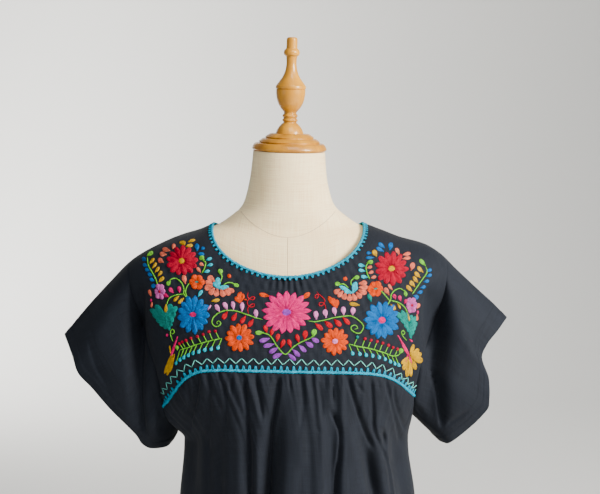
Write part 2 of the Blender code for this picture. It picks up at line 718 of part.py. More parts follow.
def build_wood():
    """Neck cap and finial above the form, and the board, pole and base under it."""
    top = FORM[0]
    seat = point((LEAN_START - top.drop) * math.tan(NECK_LEAN), (top.front + top.back) / 2, top.drop)
    seat[2] += seat[1] * math.tan(NECK_NOD)
    axis = np.array([math.sin(NECK_LEAN), -math.sin(NECK_NOD), math.cos(NECK_NOD)])
    turned("neck_cap", CAP_PROFILE, seat + axis * SEAT_GAP, NECK_LEAN, NECK_NOD, TURN_STEPS)
    finial_seat = seat + axis * (CAP_PROFILE[-1].height + 2 * SEAT_GAP)
    turned("finial", FINIAL_PROFILE, finial_seat, NECK_LEAN, NECK_NOD, TURN_STEPS)
    form_bottom = SHOULDER_LEVEL - FORM[-1].drop
    board_bottom = form_bottom - SEAT_GAP - BOARD_HEIGHT
    centre = np.array([0.0, 0.0, 0.0])
    board = [Turn(board_bottom, BOARD_RADIUS), Turn(board_bottom + BOARD_HEIGHT, BOARD_RADIUS)]
    turned("board", board, centre, 0, 0, TURN_STEPS)
    pole = [Turn(BASE_HEIGHT + SEAT_GAP, POLE_RADIUS), Turn(board_bottom - SEAT_GAP, POLE_RADIUS)]
    turned("pole", pole, centre, 0, 0, POLE_STEPS)
    edge = [Turn(BASE_HEIGHT - BASE_EDGE * (1 - math.sin(angle)),
                 BASE_RADIUS - BASE_EDGE * (1 - math.cos(angle)))
            for angle in np.linspace(0, math.pi / 2, BASE_EDGE_STEPS)]
    turned("base", [Turn(0, BASE_RADIUS)] + edge, centre, 0, 0, TURN_STEPS)


def clear_scene():
    for thing in list(bpy.data.objects):
        bpy.data.objects.remove(thing, do_unlink=True)


def main():
    clear_scene()
    build_form()
    build_wood()
    build_blouse()


main()
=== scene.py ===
"""Looks of an embroidered yoke blouse on its linen dress form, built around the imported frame.

The cloth panels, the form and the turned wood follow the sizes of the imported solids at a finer
step. The embroidery lies on the front yoke as raised stitches: every motif is worked out from its
place, size and number of petals. Tables are in millimetres: x runs to the viewer's right, and a
drop is measured down from the shoulder line at the neck. Sides are the wearer's.
"""

from __future__ import annotations

import logging
import math
from dataclasses import dataclass, field
from enum import Enum, IntEnum
from functools import lru_cache
from typing import NamedTuple, Sequence, TypeVar

import bpy
import numpy as np
from bpy.types import Material, Node, NodeSocket, NodeTree, Object
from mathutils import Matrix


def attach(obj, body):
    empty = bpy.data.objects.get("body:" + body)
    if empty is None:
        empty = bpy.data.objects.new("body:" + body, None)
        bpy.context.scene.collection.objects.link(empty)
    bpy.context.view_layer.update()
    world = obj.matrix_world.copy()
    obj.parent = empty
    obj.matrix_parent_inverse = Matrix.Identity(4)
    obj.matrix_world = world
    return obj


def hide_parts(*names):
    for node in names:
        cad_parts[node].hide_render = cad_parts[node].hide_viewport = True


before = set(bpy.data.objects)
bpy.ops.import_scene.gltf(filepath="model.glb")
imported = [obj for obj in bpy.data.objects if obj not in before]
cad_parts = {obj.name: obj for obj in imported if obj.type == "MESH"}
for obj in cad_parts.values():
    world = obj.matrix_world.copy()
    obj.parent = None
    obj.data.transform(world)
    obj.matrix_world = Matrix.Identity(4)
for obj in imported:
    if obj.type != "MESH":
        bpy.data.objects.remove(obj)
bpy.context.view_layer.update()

log = logging.getLogger("blouse")
MM = 0.001
SHARP_ANGLE = math.radians(62)
Pair = tuple[float, float]
Row = TypeVar("Row")


class Face(IntEnum):
    """Front or back of the garment, as the sign of Y."""

    FRONT = -1
    BACK = 1


class Side(IntEnum):
    """Wearer's side, as the sign of X."""

    RIGHT = -1
    LEFT = 1


class Thread(Enum):
    """Embroidery threads by colour, in linear light."""

    CRIMSON = (0.48, 0.0, 0.028)
    SCARLET = (0.62, 0.0, 0.014)
    PINK = (0.90, 0.006, 0.210)
    ROSE = (0.90, 0.270, 0.620)
    MAGENTA = (0.78, 0.0, 0.150)
    MAUVE = (0.62, 0.120, 0.420)
    PURPLE = (0.33, 0.060, 0.520)
    ORANGE = (0.86, 0.072, 0.0)
    SALMON = (0.90, 0.180, 0.100)
    YELLOW = (0.68, 0.370, 0.0)
    BLUE = (0.0, 0.150, 0.480)
    SKY = (0.0, 0.390, 0.600)
    TURQUOISE = (0.0, 0.560, 0.720)
    TEAL = (0.0, 0.260, 0.215)
    GREEN = (0.180, 0.600, 0.030)
    MINT = (0.240, 0.900, 0.780)
    BLACK = (0.010, 0.011, 0.014)


class Tip(Enum):
    """Outline of a satin-stitched petal: how far each part of its length bulges."""

    POINTED = "pointed"
    ROUND = "round"
    DROP = "drop"
    BUD = "bud"


# Levels and sizes of the worn blouse
SHOULDER_LEVEL = 880.0
RIDGE_DEPTH = 8.0
ROLL = {Face.FRONT: 45.0, Face.BACK: 30.0}
CHEST_POWER = 2.3
CREASE_ROOM = 45.0
CREASE_FADE = 0.6
NECK_HALF = 115.5
NECK_DROP = {Face.FRONT: 74.0, Face.BACK: 24.0}
NECK_POWER = 1.9
NECK_SIDE_ANGLE = 0.62
NECK_SIDE_CROWD = 1.5
SIDE_COLUMNS = 8
YOKE_COLUMNS = {Face.FRONT: 22, Face.BACK: 18}
ARMHOLE_RUN = 243.0
UNDERARM_STEPS = 4
SEAM_LEVEL = 206.0
GATHER_HEIGHT = 1.1
GATHER_LENGTH = 55.0
GATHER_START = 4.0
DRIFT = 1.7
DRIFT_STEPS = (7.3, 3.1)
DRIFT_START = 0.6
PUFF = 7.0
PUFF_START = 12.0
PUFF_END = 220.0
SIDE_SPREAD = 0.3
SIDE_EASE = 0.09
FOLD_READ_DROP = 419.0
FOLD_GROWTH = 130.0
FOLD_SPREAD = 0.35
FOLD_SPREAD_RUN = 200.0
SLEEVE_PUFF = {Face.FRONT: 12.0, Face.BACK: 10.0}
SLEEVE_FOLD_START = 1 / 3
SLEEVE_CREASE_START = 1 / 8
BODY_ROW_CROWD = 1.4
SEAM_END_STEPS = 5
SEAM_DRAW = 3.0
CREASE_STEP = 11.0
CREASE_ENDS = (22.0, 26.0)
CREASE_REACH = 3
RING_STEPS = 361

# Puckers below the front neckline and the unevenness of the stitched yoke
PUCKER_CENTRE = -2.0
PUCKER_HALF = 26.0
PUCKER_FAN = 90.0
PUCKER_LENGTH = 8.6
PUCKER_HEIGHT = 1.3
PUCKER_DROPS = (73.0, 82.0)
PUCKER_RUNS = (4.0, 24.0)
RIPPLES = ((0.3, 17), (1.2, 13), (2.2, 15), (2.8, 10.5))
RIPPLE_HEIGHT = 0.26
RIPPLE_BEND = 1.4
RIPPLE_BEND_LENGTH = 23
RIPPLE_EDGE = 212
RIPPLE_EDGE_RUN = 26
RIPPLE_TOP = 30


class Ridge(NamedTuple):
    """Point of the line along the top of shoulder and sleeve."""

    run: float
    drop: float


class Chest(NamedTuple):
    """Depth of the cloth on chest and back at a level, and how far it reaches sideways."""

    drop: float
    front: float
    back: float
    reach: float


class Edge(NamedTuple):
    """Point of a seam, as its distance from the middle and its drop."""

    run: float
    drop: float


class ArmCrease(NamedTuple):
    """Valley where the cloth falls from the shoulder in front of the arm."""

    run: float
    depth: float
    width: float
    start: float
    full: float
    end: float


class Cuff(NamedTuple):
    """Point of a sleeve's lower edge."""

    run: float
    drop: float
    front: float
    back: float


class Ring(NamedTuple):
    """Level section of the body."""

    drop: float
    centre: float
    half: float
    front: float
    back: float
    power: float


class Fold(NamedTuple):
    """Soft valley of the body: its place at the seam and at FOLD_READ_DROP."""

    seam: float
    low: float
    depth: float
    width: float
    start: float


class SleeveFold(NamedTuple):
    """Fold from armhole to cuff; its place counts steps round the loop from the ridge."""

    place: float
    depth: float
    width: float


class Crease(NamedTuple):
    """Narrow crease along a path seen from the front, with its spread to either side."""

    path: tuple[Pair, ...]
    depth: float
    left: float
    right: float


class Pleat(NamedTuple):
    """Kind of small gather: its length along the seam, its height, how soon it dies out and how
    its spacing drifts, by size, length and start of each wave."""

    length: float
    height: float
    fade: float
    drifts: tuple[tuple[float, float, float], ...]


SMALL_PLEAT = Pleat(10.5, 0.9, 22, ((1.9, 83, 0.7), (1.1, 37, 0)))
BROAD_PLEAT = Pleat(23, 1.1, 90, ((2.3, 140, 1.9),))


def rows_of(kind: type[Row], *rows: tuple) -> list[Row]:
    """Rows of a table, each made into its kind."""
    return [kind(*row) for row in rows]


RIDGE = {
    Side.RIGHT: rows_of(
        Ridge, (0, 0), (115, 3), (137, 10.5), (167, 19.6), (204, 35.5), (240, 56.5), (277, 93),
        (324, 145), (348, 174.7)),
    Side.LEFT: rows_of(
        Ridge, (0, 0), (115, 2.5), (142, 10.8), (172, 22.4), (211, 33.5), (235, 48), (258, 70.5),
        (297, 107), (321, 129), (339, 148.4)),
}
CHEST = rows_of(
    Chest, (0, -66, 90, 275), (20, -73, 95, 272), (45, -82, 101, 266), (73, -91.5, 104, 258),
    (100, -102, 107, 250), (150, -122, 109, 234), (200, -135, 107, 222), (230, -137, 105, 212),
    (262, -134, 101, 202))
ARMHOLE = rows_of(Edge, (237, 100), (226, 140), (214, 175), (198, 215))
YOKE_SEAM = {
    Side.RIGHT: rows_of(
        Edge, (0, 206), (35, 205.3), (85, 205.2), (120, 207.7), (136, 213), (149.5, 222), (163.5, 239),
        (175.5, 257.5), (187.5, 274)),
    Side.LEFT: rows_of(
        Edge, (0, 206), (64, 207.6), (114, 211), (140, 216.5), (161.5, 228.5), (175.5, 241.5),
        (189.5, 257.5)),
}
UNDERARM = {Side.RIGHT: Edge(165, 314), Side.LEFT: Edge(186, 294)}
ARM_CREASE = {
    Side.RIGHT: ArmCrease(run=222, depth=20, width=14, start=80, full=150, end=340),
    Side.LEFT: ArmCrease(run=219, depth=24, width=18, start=80, full=150, end=320),
}
CUFF = {
    Side.RIGHT: rows_of(
        Cuff, (348, 174.7, 5, 5), (330, 204.4, -25, 30), (321, 226, -38, 42), (296, 250, -47, 48),
        (269.5, 278.5, -53, 50), (230, 323, -50, 44), (223, 336, -46, 40), (211.5, 344, -38, 34),
        (189, 346.5, -16, 18), (181, 342, 8, 8)),
    Side.LEFT: rows_of(
        Cuff, (339, 148.4, 5, 5), (320, 165, -22, 24), (301.6, 183.7, -40, 38), (293, 202, -48, 44),
        (303, 236, -55, 50), (304, 256, -55, 50), (304, 273.4, -52, 48), (294, 290, -50, 46),
        (250, 332, -42, 38), (243, 337, -34, 30), (235, 337.5, -18, 18), (228, 332, 8, 8)),
}
WAIST_RING = Ring(330, 12.0, 172.5, -148, 118, 2.0)
FLARE_RING = Ring(419, 14.0, 182.5, -151.5, 124, 2.1)
HEM_RING = Ring(660, 16, 206, -165, 150, 2.3)
BODY_FOLDS = {
    Face.FRONT: rows_of(
        Fold, (-124, -150, 7, 11, 225), (-111, -116, 5, 9, 215), (-96, -100, 4, 8, 215),
        (-60, -54, 9, 9, 215), (-36, -30, 4, 9, 215), (-11, -27, 20, 12, 225), (31, 33, 4, 9, 215),
        (63, 65, 12, 9, 215), (81, 137, 13, 10, 225), (113, 128, 9, 9, 235), (134, 178, 12, 11, 235),
        (-150, -132, 5, 12, 300)),
    Face.BACK: rows_of(
        Fold, (-128, -140, 9, 12, 225), (-84, -96, 14, 12, 225), (-47, -44, 8, 10, 215),
        (-6, 8, 17, 13, 225), (40, 52, 8, 10, 215), (79, 84, 13, 11, 225), (118, 144, 11, 12, 230)),
}
SLEEVE_FOLDS = {
    Side.RIGHT: rows_of(SleeveFold, (3.2, 4, 1.1), (17.5, 5, 1.2), (21, 4, 1)),
    Side.LEFT: rows_of(SleeveFold, (3, 5, 1.1), (8.6, 4, 1), (17, 5, 1.2), (20.6, 4, 1.1)),
}
CLOTH_CREASES = rows_of(
    Crease, (((-214.5, 82), (-217, 128), (-219, 194), (-220.5, 259), (-216, 322)), 7, 9, 3.2),
    (((-211.2, 169.8), (-201.7, 185), (-183.7, 210)), 1.8, 2.2, 3.6),
    (((-194, 262), (-192.1, 292.1), (-194.6, 326)), 6, 5, 8),
    (((-306, 168), (-292, 214), (-268, 252)), 1.6, 2.6, 9),
    (((207.7, 86), (203.4, 132.9), (208.6, 182.8), (221.9, 226.4)), 6, 4, 9),
    (((199, 186), (211.1, 215.4), (224.3, 248.2), (229, 281.1), (234, 316)), 6.5, 2.4, 8),
    (((232, 312), (252.9, 296.3), (280, 276)), 2.4, 3, 5),
    (((222.2, 49), (232, 61.9), (234.3, 80)), 1.7, 2.4, 3),
    (((236.2, 59.7), (235.3, 74.7), (230.1, 84), (228.2, 110)), 1.6, 2.6, 2.4),
    (((206, 52), (214, 66), (217, 92)), 1.2, 2.6, 3),
    (((192, 257), (209.3, 251.5), (224, 245)), 1.6, 2.2, 2.2),
    (((184, 266), (205.3, 292.1), (209, 306)), 3, 3, 6),
    (((-236, 84), (-233, 104), (-232, 128)), 1, 2.6, 2.6))
BODY_CREASES = rows_of(
    Crease,
    (((-9.8, 204), (-14.8, 245), (-22.3, 288), (-24.9, 326), (-27.5, 384), (-36, 700)), 7.5, 8.5, 2.6),
    (((-57.9, 204), (-59.7, 238), (-55.7, 288), (-54.2, 328), (-54.9, 384), (-52, 560)), 4.6, 3.4, 2.2),
    (((-46.8, 206), (-41, 238), (-37.1, 263), (-34.7, 284)), 4.2, 3.4, 3),
    (((-59.3, 262), (-48.3, 295), (-44.7, 322)), 1.8, 3, 2.6),
    (((-113.4, 206), (-111.7, 253), (-115.2, 300), (-118.6, 340)), 2.6, 4, 3),
    (((-126.9, 208), (-133.4, 253), (-142.3, 283), (-148, 318)), 6, 7, 3),
    (((65.3, 202), (64.9, 238), (66.2, 262)), 4.6, 2.2, 2.4),
    (((58.5, 258), (74.2, 290), (74.3, 328), (69.5, 384), (66, 620)), 6, 2, 4.6),
    (((40.7, 206), (48.1, 250), (49.4, 284)), 3, 2.6, 3.2),
    (((38, 278), (46, 291), (56, 299)), 2.2, 2.4, 2.4),
    (((83.3, 204), (96.3, 253), (113.8, 300), (131, 334)), 5.6, 2.6, 4.6),
    (((95.4, 212), (101.6, 230), (114.3, 242)), 4.2, 2, 3.6),
    (((119.6, 210), (123.5, 263), (126.2, 296), (138.8, 328), (150, 362), (158, 430)), 4.6, 4.2, 2.6),
    (((135.6, 290), (143.6, 313), (143.3, 338)), 7, 6, 2.4),
    (((138, 208), (149.4, 253), (160.8, 293), (174, 345)), 3.6, 3, 3.6),
    (((153.4, 222), (156.6, 258), (168.2, 293), (178, 320)), 4, 3.4, 3.4),
    (((19.7, 206), (22.2, 250), (16, 302)), 1.8, 3.6, 3.6), (((-78.9, 204), (-80.2, 248)), 2.4, 2.6, 2.6),
    (((-91, 206), (-87.8, 263), (-91.7, 308)), 2.2, 3.2, 3),
    (((-145.5, 218), (-142, 250), (-144.4, 284)), 3, 3.2, 3.2), (((2.5, 204), (4, 246)), 2.2, 2.4, 2.6),
    (((-25, 204), (-27, 236)), 2.4, 2.4, 2.6), (((-100.5, 205), (-101, 232)), 2, 2.2, 2.4),
    (((30, 204), (33, 240)), 2, 2.4, 2.4), (((53.5, 204), (54.5, 234)), 2.2, 2.2, 2.4),
    (((74.5, 204), (77.5, 236)), 2.2, 2.2, 2.4), (((108, 207), (112.5, 228)), 2.2, 2.2, 2.4),
    (((129, 212), (134, 244)), 2.4, 2.4, 2.4), (((148, 338), (160, 378), (166, 450)), 3, 3.4, 5),
    (((-96, 360), (-101, 430), (-108, 700)), 2.6, 7, 6), (((22, 330), (18, 420), (16, 700)), 2.6, 8, 7),
    (((106, 380), (112, 450), (120, 700)), 3.2, 7, 6))


def column(table: Sequence[NamedTuple], name: str) -> np.ndarray:
    """The values of one named column of a table."""
    return np.array([getattr(row, name) for row in table], dtype=float)


def eased(xs: np.ndarray, ys: np.ndarray, at: np.ndarray | float) -> np.ndarray:
    """Smooth curve through points, which never overshoots them.

    Args:
        xs: Rising places of the points.
        ys: Values at those places.
        at: Places to read the curve at.

    Returns:
        The curve's values at those places.
    """
    steps = np.diff(xs)
    rises = np.diff(ys) / steps
    slopes = np.zeros(len(xs))
    slopes[0], slopes[-1] = rises[0], rises[-1]
    for i in range(1, len(xs) - 1):
        before, after = rises[i - 1], rises[i]
        if before * after > 0:
            weight_a = 2 * steps[i] + steps[i - 1]
            weight_b = steps[i] + 2 * steps[i - 1]
            slopes[i] = (weight_a + weight_b) / (weight_a / before + weight_b / after)
    at = np.clip(np.asarray(at, dtype=float), xs[0], xs[-1])
    i = np.clip(np.searchsorted(xs, at, side="right") - 1, 0, len(steps) - 1)
    t = (at - xs[i]) / steps[i]
    return (ys[i] * (1 + 2 * t) * (1 - t) ** 2 + steps[i] * slopes[i] * t * (1 - t) ** 2
            + ys[i + 1] * t ** 2 * (3 - 2 * t) + steps[i] * slopes[i + 1] * t ** 2 * (t - 1))


def look_up(table: Sequence[NamedTuple], key: str, name: str, at: np.ndarray | float) -> np.ndarray:
    """Eased value of the column `name` where the column `key` reads `at`."""
    return eased(column(table, key), column(table, name), at)


def lengths_along(points: np.ndarray) -> np.ndarray:
    """Distance along a polyline at each of its points."""
    legs = np.linalg.norm(np.diff(points, axis=0), axis=1)
    return np.concatenate([[0.0], np.cumsum(legs)])


def resampled(points: Sequence[Sequence[float]], fractions: np.ndarray) -> np.ndarray:
    """Points at fractions of the length of the eased curve through a few points.

    Args:
        points: A few places.
        fractions: Shares of the length.

    Returns:
        One place for each fraction.
    """
    places = np.asarray(points, dtype=float)
    along = lengths_along(places)
    at = np.asarray(fractions) * along[-1]
    return np.stack([eased(along, places[:, k], at) for k in range(places.shape[1])], axis=-1)


def smooth_step(t: np.ndarray | float) -> np.ndarray:
    """0 below 0, 1 above 1, and a soft S between."""
    t = np.clip(t, 0, 1)
    return t * t * (3 - 2 * t)


def unit(vectors: np.ndarray) -> np.ndarray:
    """Vectors scaled to length one along the last axis."""
    return vectors / np.maximum(np.linalg.norm(vectors, axis=-1, keepdims=True), 1e-9)


class WornCloth:
    """Outer surface of the worn blouse, worked out from its tables."""

    @staticmethod
    def point(x: np.ndarray, y: np.ndarray, drop: np.ndarray) -> np.ndarray:
        """Places in millimetres from x, depth and drop."""
        x, y, drop = np.broadcast_arrays(x, y, drop)
        return np.stack([x, y, SHOULDER_LEVEL - drop], axis=-1).astype(float)

    @staticmethod
    def ridge_drop(x: np.ndarray | float) -> np.ndarray:
        """Drop of the line along the top of shoulder and sleeve.

        Args:
            x: Places across.

        Returns:
            The line's drop at each place.
        """
        x = np.asarray(x, dtype=float)
        sides = {side: look_up(RIDGE[side], "run", "drop", np.abs(x)) for side in Side}
        return np.where(x > 0, sides[Side.LEFT], sides[Side.RIGHT])

    @staticmethod
    def crease_depth(x: np.ndarray, y: np.ndarray, drop: np.ndarray) -> np.ndarray:
        """How far the cloth sinks where it falls in front of the arm.

        Args:
            x: Places across.
            y: Depths of the plain cloth.
            drop: Drops below the shoulder line.

        Returns:
            Depth of the valley.
        """
        depths = []
        for side in (Side.LEFT, Side.RIGHT):
            crease = ARM_CREASE[side]
            across = np.exp(-((np.abs(x) - crease.run) / crease.width) ** 2)
            down = smooth_step((drop - crease.start) / (crease.full - crease.start))
            fading = smooth_step((drop - crease.full) / (crease.end - crease.full))
            room = np.minimum(1.0, np.abs(y - RIDGE_DEPTH) / CREASE_ROOM)
            depths.append(crease.depth * across * down * (1 - fading * CREASE_FADE) * room)
        return np.where(np.asarray(x) > 0, depths[0], depths[1])

    def panel_depth(self, x: np.ndarray, drop: np.ndarray, face: Face) -> np.ndarray:
        """Depth of the cloth's outer side on chest or back.

        Args:
            x: Places across.
            drop: Drops below the shoulder line.
            face: Front or back.

        Returns:
            Depth, as a value of y.
        """
        x, drop = np.broadcast_arrays(np.asarray(x, dtype=float), np.asarray(drop, dtype=float))
        y = self.smooth_depth(x, drop, face)
        return y - face * self.crease_depth(x, y, drop)

    def smooth_depth(self, x: np.ndarray, drop: np.ndarray, face: Face) -> np.ndarray:
        """The same depth without the crease in front of the arm.

        Args:
            x: Places across.
            drop: Drops below the shoulder line.
            face: Front or back.

        Returns:
            Depth, as a value of y.
        """
        full = look_up(CHEST, "drop", "front" if face == Face.FRONT else "back", drop)
        reach = look_up(CHEST, "drop", "reach", drop)
        across = np.minimum(np.abs(x) / reach, 1.0)
        full = full * (1 - across ** CHEST_POWER) ** (1 / CHEST_POWER)
        below = np.maximum(drop - self.ridge_drop(x), 0.0)
        roll = np.sqrt(1 - (1 - np.minimum(below / ROLL[face], 1.0)) ** 2)
        return RIDGE_DEPTH + (full - RIDGE_DEPTH) * roll

    def neckline(self, angle: np.ndarray, face: Face) -> np.ndarray:
        """Neck edge as (x, drop) at angles from the right shoulder, 0, to the left, pi.

        Args:
            angle: Angles from the right shoulder.
            face: Front or back.

        Returns:
            One (x, drop) an angle.
        """
        power = 2 / NECK_POWER
        cosine = np.cos(angle)
        x = -NECK_HALF * np.sign(cosine) * np.abs(cosine) ** power
        start = self.ridge_drop(np.copysign(NECK_HALF, x))
        drop = start + (NECK_DROP[face] - start) * np.abs(np.sin(angle)) ** power
        return np.stack([x, drop], axis=-1)

    def armhole(self, side: Side, step: np.ndarray) -> np.ndarray:
        """Armhole edge as (x, drop), from the ridge at step 0 to the yoke's corner.

        Args:
            side: Wearer's side.
            step: Steps down from the ridge.

        Returns:
            One (x, drop) a step.
        """
        corner = YOKE_SEAM[side][-1]
        top = Edge(ARMHOLE_RUN, float(self.ridge_drop(side * ARMHOLE_RUN)))
        drop = top.drop + (corner.drop - top.drop) * (np.asarray(step) / SIDE_COLUMNS) ** 2
        run = look_up([top] + ARMHOLE + [corner], "drop", "run", drop)
        return np.stack([side * run, drop], axis=-1)

    @staticmethod
    def seam_edges() -> list[Pair]:
        """Places (x, drop) of the yoke seam, from its right corner to its left."""
        right = [(-edge.run, edge.drop) for edge in YOKE_SEAM[Side.RIGHT][:0:-1]]
        return right + [(edge.run, edge.drop) for edge in YOKE_SEAM[Side.LEFT]]

    def yoke_outline(self, face: Face, fine: int) -> tuple[np.ndarray, np.ndarray]:
        """Inner and outer (x, drop) of each yoke column, from right shoulder to left.

        Args:
            face: Front or back.
            fine: Columns for each of the yoke's own steps.

        Returns:
            The inner and the outer places.
        """
        middle = YOKE_COLUMNS[face] * fine
        seam = resampled(self.seam_edges(), np.linspace(0, 1, middle + 1))
        steps = np.arange(SIDE_COLUMNS * fine) / fine
        side_angles = NECK_SIDE_ANGLE * (steps / SIDE_COLUMNS) ** NECK_SIDE_CROWD
        middle_angles = np.linspace(NECK_SIDE_ANGLE, math.pi - NECK_SIDE_ANGLE, middle + 1)
        angles = np.concatenate([side_angles, middle_angles, math.pi - side_angles[::-1]])
        outer = np.concatenate([self.armhole(Side.RIGHT, steps), seam,
                                self.armhole(Side.LEFT, steps[::-1])])
        return self.neckline(angles, face), outer

    def yoke_grid(self, face: Face, rows: int, fine: int) -> np.ndarray:
        """Rows from neck to seam and armhole, columns from the right shoulder to the left.

        Args:
            face: Front or back.
            rows: Number of rows of faces.
            fine: Columns for each of the yoke's own steps.

        Returns:
            Places, rows by columns.
        """
        inner, outer = self.yoke_outline(face, fine)
        part = np.linspace(0, 1, rows + 1)[:, None]
        x = inner[:, 0] + (outer[:, 0] - inner[:, 0]) * part
        below_in = inner[:, 1] - self.ridge_drop(inner[:, 0])
        below_out = outer[:, 1] - self.ridge_drop(outer[:, 0])
        drop = self.ridge_drop(x) + below_in + (below_out - below_in) * part
        grid = self.point(x, self.yoke_depth(x, drop, face), drop)
        return grid if face == Face.FRONT else grid[:, ::-1]

    def yoke_depth(self, x: np.ndarray, drop: np.ndarray, face: Face) -> np.ndarray:
        """Depth of the yoke with its small puckers and wrinkles.

        Args:
            x: Places across.
            drop: Drops below the shoulder line.
            face: Front or back.

        Returns:
            Depth, as a value of y.
        """
        y = self.panel_depth(x, drop, face)
        if face == Face.BACK:
            return y
        spread = x / (1 + (drop - NECK_DROP[face]) / PUCKER_FAN)
        window = np.exp(-((spread - PUCKER_CENTRE) / PUCKER_HALF) ** 4)
        window = window * smooth_step((drop - PUCKER_DROPS[0]) / PUCKER_RUNS[0])
        window = window * (1 - smooth_step((drop - PUCKER_DROPS[1]) / PUCKER_RUNS[1]))
        pucker = np.cos(2 * math.pi * spread / PUCKER_LENGTH + 1.2 * np.sin(spread / 9)) * window
        return y + pucker * PUCKER_HEIGHT + self.creases(CLOTH_CREASES, x, drop) + self.ripple(x, drop)

    @staticmethod
    def ripple(x: np.ndarray, drop: np.ndarray) -> np.ndarray:
        """Small unevenness where the stitches draw the yoke together.

        Args:
            x: Places across.
            drop: Drops below the shoulder line.

        Returns:
            Rise or fall at each place.
        """
        total = 0.0
        for k, (angle, length) in enumerate(RIPPLES):
            way = x * math.cos(angle) + drop * math.sin(angle)
            aside = (x * math.sin(angle) - drop * math.cos(angle)) / RIPPLE_BEND_LENGTH
            bend = RIPPLE_BEND * np.sin(aside + k)
            total = total + RIPPLE_HEIGHT * np.sin(2 * math.pi * way / length + bend + 2 * k)
        inside = smooth_step((RIPPLE_EDGE - np.abs(x)) / RIPPLE_EDGE_RUN)
        return total * inside * smooth_step((drop - RIPPLE_TOP) / RIPPLE_TOP)

    @staticmethod
    @lru_cache(maxsize=None)
    def crease_line(crease: Crease) -> tuple[np.ndarray, np.ndarray]:
        """Smooth path of a crease and the distance along it."""
        path = flowing_line(crease.path, CREASE_STEP)
        return path, lengths_along(path)

    @staticmethod
    def creases(lines: Sequence[Crease], x: np.ndarray, drop: np.ndarray) -> np.ndarray:
        """Depth of narrow creases at places seen from the front.

        Args:
            lines: The creases.
            x: Places across.
            drop: Drops below the shoulder line.

        Returns:
            Depth at each place.
        """
        x, drop = np.broadcast_arrays(np.asarray(x, dtype=float), np.asarray(drop, dtype=float))
        total = np.zeros(x.shape)
        for crease in lines:
            path, along = WornCloth.crease_line(crease)
            reach = CREASE_REACH * max(crease.left, crease.right)
            low, high = path.min(axis=0) - reach, path.max(axis=0) + reach
            inside = (x > low[0]) & (x < high[0]) & (drop > low[1]) & (drop < high[1])
            if not inside.any():
                continue
            at = np.stack([x[inside], drop[inside]], axis=-1)
            best, side, part = np.full(len(at), 1e9), np.zeros(len(at)), np.zeros(len(at))
            for i in range(len(path) - 1):
                run, length = path[i + 1] - path[i], along[i + 1] - along[i]
                t = np.clip((at - path[i]) @ run / length ** 2, 0, 1)
                away = at - path[i] - t[:, None] * run
                gap = np.hypot(away[:, 0], away[:, 1])
                near = gap < best
                best = np.where(near, gap, best)
                side = np.where(near, away[:, 0] * run[1] - away[:, 1] * run[0], side)
                part = np.where(near, along[i] + t * length, part)
            width = np.where(side > 0, crease.right, crease.left)
            ends = smooth_step(part / CREASE_ENDS[0])
            ends = ends * smooth_step((along[-1] - part) / CREASE_ENDS[1])
            depth = crease.depth * ends * np.exp(-(best / width) ** 2)
            total[inside] = np.maximum(total[inside], depth)
        return total

    @staticmethod
    def lower_armhole(side: Side, corner: np.ndarray, fine: int) -> np.ndarray:
        """Armhole below the yoke's corner, from the corner to the underarm.

        Args:
            side: Wearer's side.
            corner: The yoke's corner.
            fine: Columns for each of the yoke's own steps.

        Returns:
            Places from the corner down.
        """
        end = UNDERARM[side]
        turn = np.arange(UNDERARM_STEPS * fine + 1) / (UNDERARM_STEPS * fine) * math.pi / 2
        inward, down = 1 - np.cos(turn), np.sin(turn)
        drop = SHOULDER_LEVEL - corner[2]
        return WornCloth.point(corner[0] + (side * end.run - corner[0]) * inward,
                               corner[1] + (RIDGE_DEPTH - corner[1]) * inward,
                               drop + (end.drop - drop) * down)

    @staticmethod
    def ring_points(ring: Ring, fractions: np.ndarray, face: Face) -> np.ndarray:
        """(x, y) of a level ring at fractions of the way from the right side seam.

        Args:
            ring: The level section.
            fractions: Shares of the way round.
            face: Front or back.

        Returns:
            One (x, y) for each fraction.
        """
        angles = np.linspace(0, math.pi, RING_STEPS)
        power = 2 / ring.power
        cosines, sines = np.cos(angles), np.sin(angles)
        depth = ring.front if face == Face.FRONT else ring.back
        xs = ring.centre - ring.half * np.sign(cosines) * np.abs(cosines) ** power
        ys = RIDGE_DEPTH + (depth - RIDGE_DEPTH) * np.abs(sines) ** power
        along = lengths_along(np.stack([xs, ys], axis=-1))
        at = fractions * along[-1]
        return np.stack([np.interp(at, along, xs), np.interp(at, along, ys)], axis=-1)

    @staticmethod
    def fold_depth(x: np.ndarray, drop: np.ndarray, face: Face) -> np.ndarray:
        """Depth of the body's valleys at places on front or back.

        Args:
            x: Places across.
            drop: Drops below the shoulder line.
            face: Front or back.

        Returns:
            Depth at each place.
        """
        total = np.zeros(np.broadcast(x, drop).shape)
        for fold in BODY_FOLDS[face]:
            hem = fold.low + (fold.low - fold.seam) * FOLD_SPREAD
            centre = np.interp(drop, [SEAM_LEVEL, FOLD_READ_DROP, HEM_RING.drop],
                               [fold.seam, fold.low, hem])
            grown = smooth_step((drop - fold.start) / FOLD_GROWTH)
            spread = smooth_step((drop - FOLD_READ_DROP) / FOLD_SPREAD_RUN)
            width = fold.width * (1 + FOLD_SPREAD * spread)
            total = total + fold.depth * grown * np.exp(-((x - centre) / width) ** 2)
        return total

    def yoke_seam(self, face: Face, fine: int) -> np.ndarray:
        """Places along the seam between yoke and body, in the order of the yoke's columns.

        Args:
            face: Front or back.
            fine: Columns for each of the yoke's own steps.

        Returns:
            Places along the seam.
        """
        outer = self.yoke_outline(face, fine)[1]
        seam = outer[SIDE_COLUMNS * fine:len(outer) - SIDE_COLUMNS * fine]
        line = self.point(seam[:, 0], self.yoke_depth(seam[:, 0], seam[:, 1], face), seam[:, 1])
        return line if face == Face.FRONT else line[::-1]

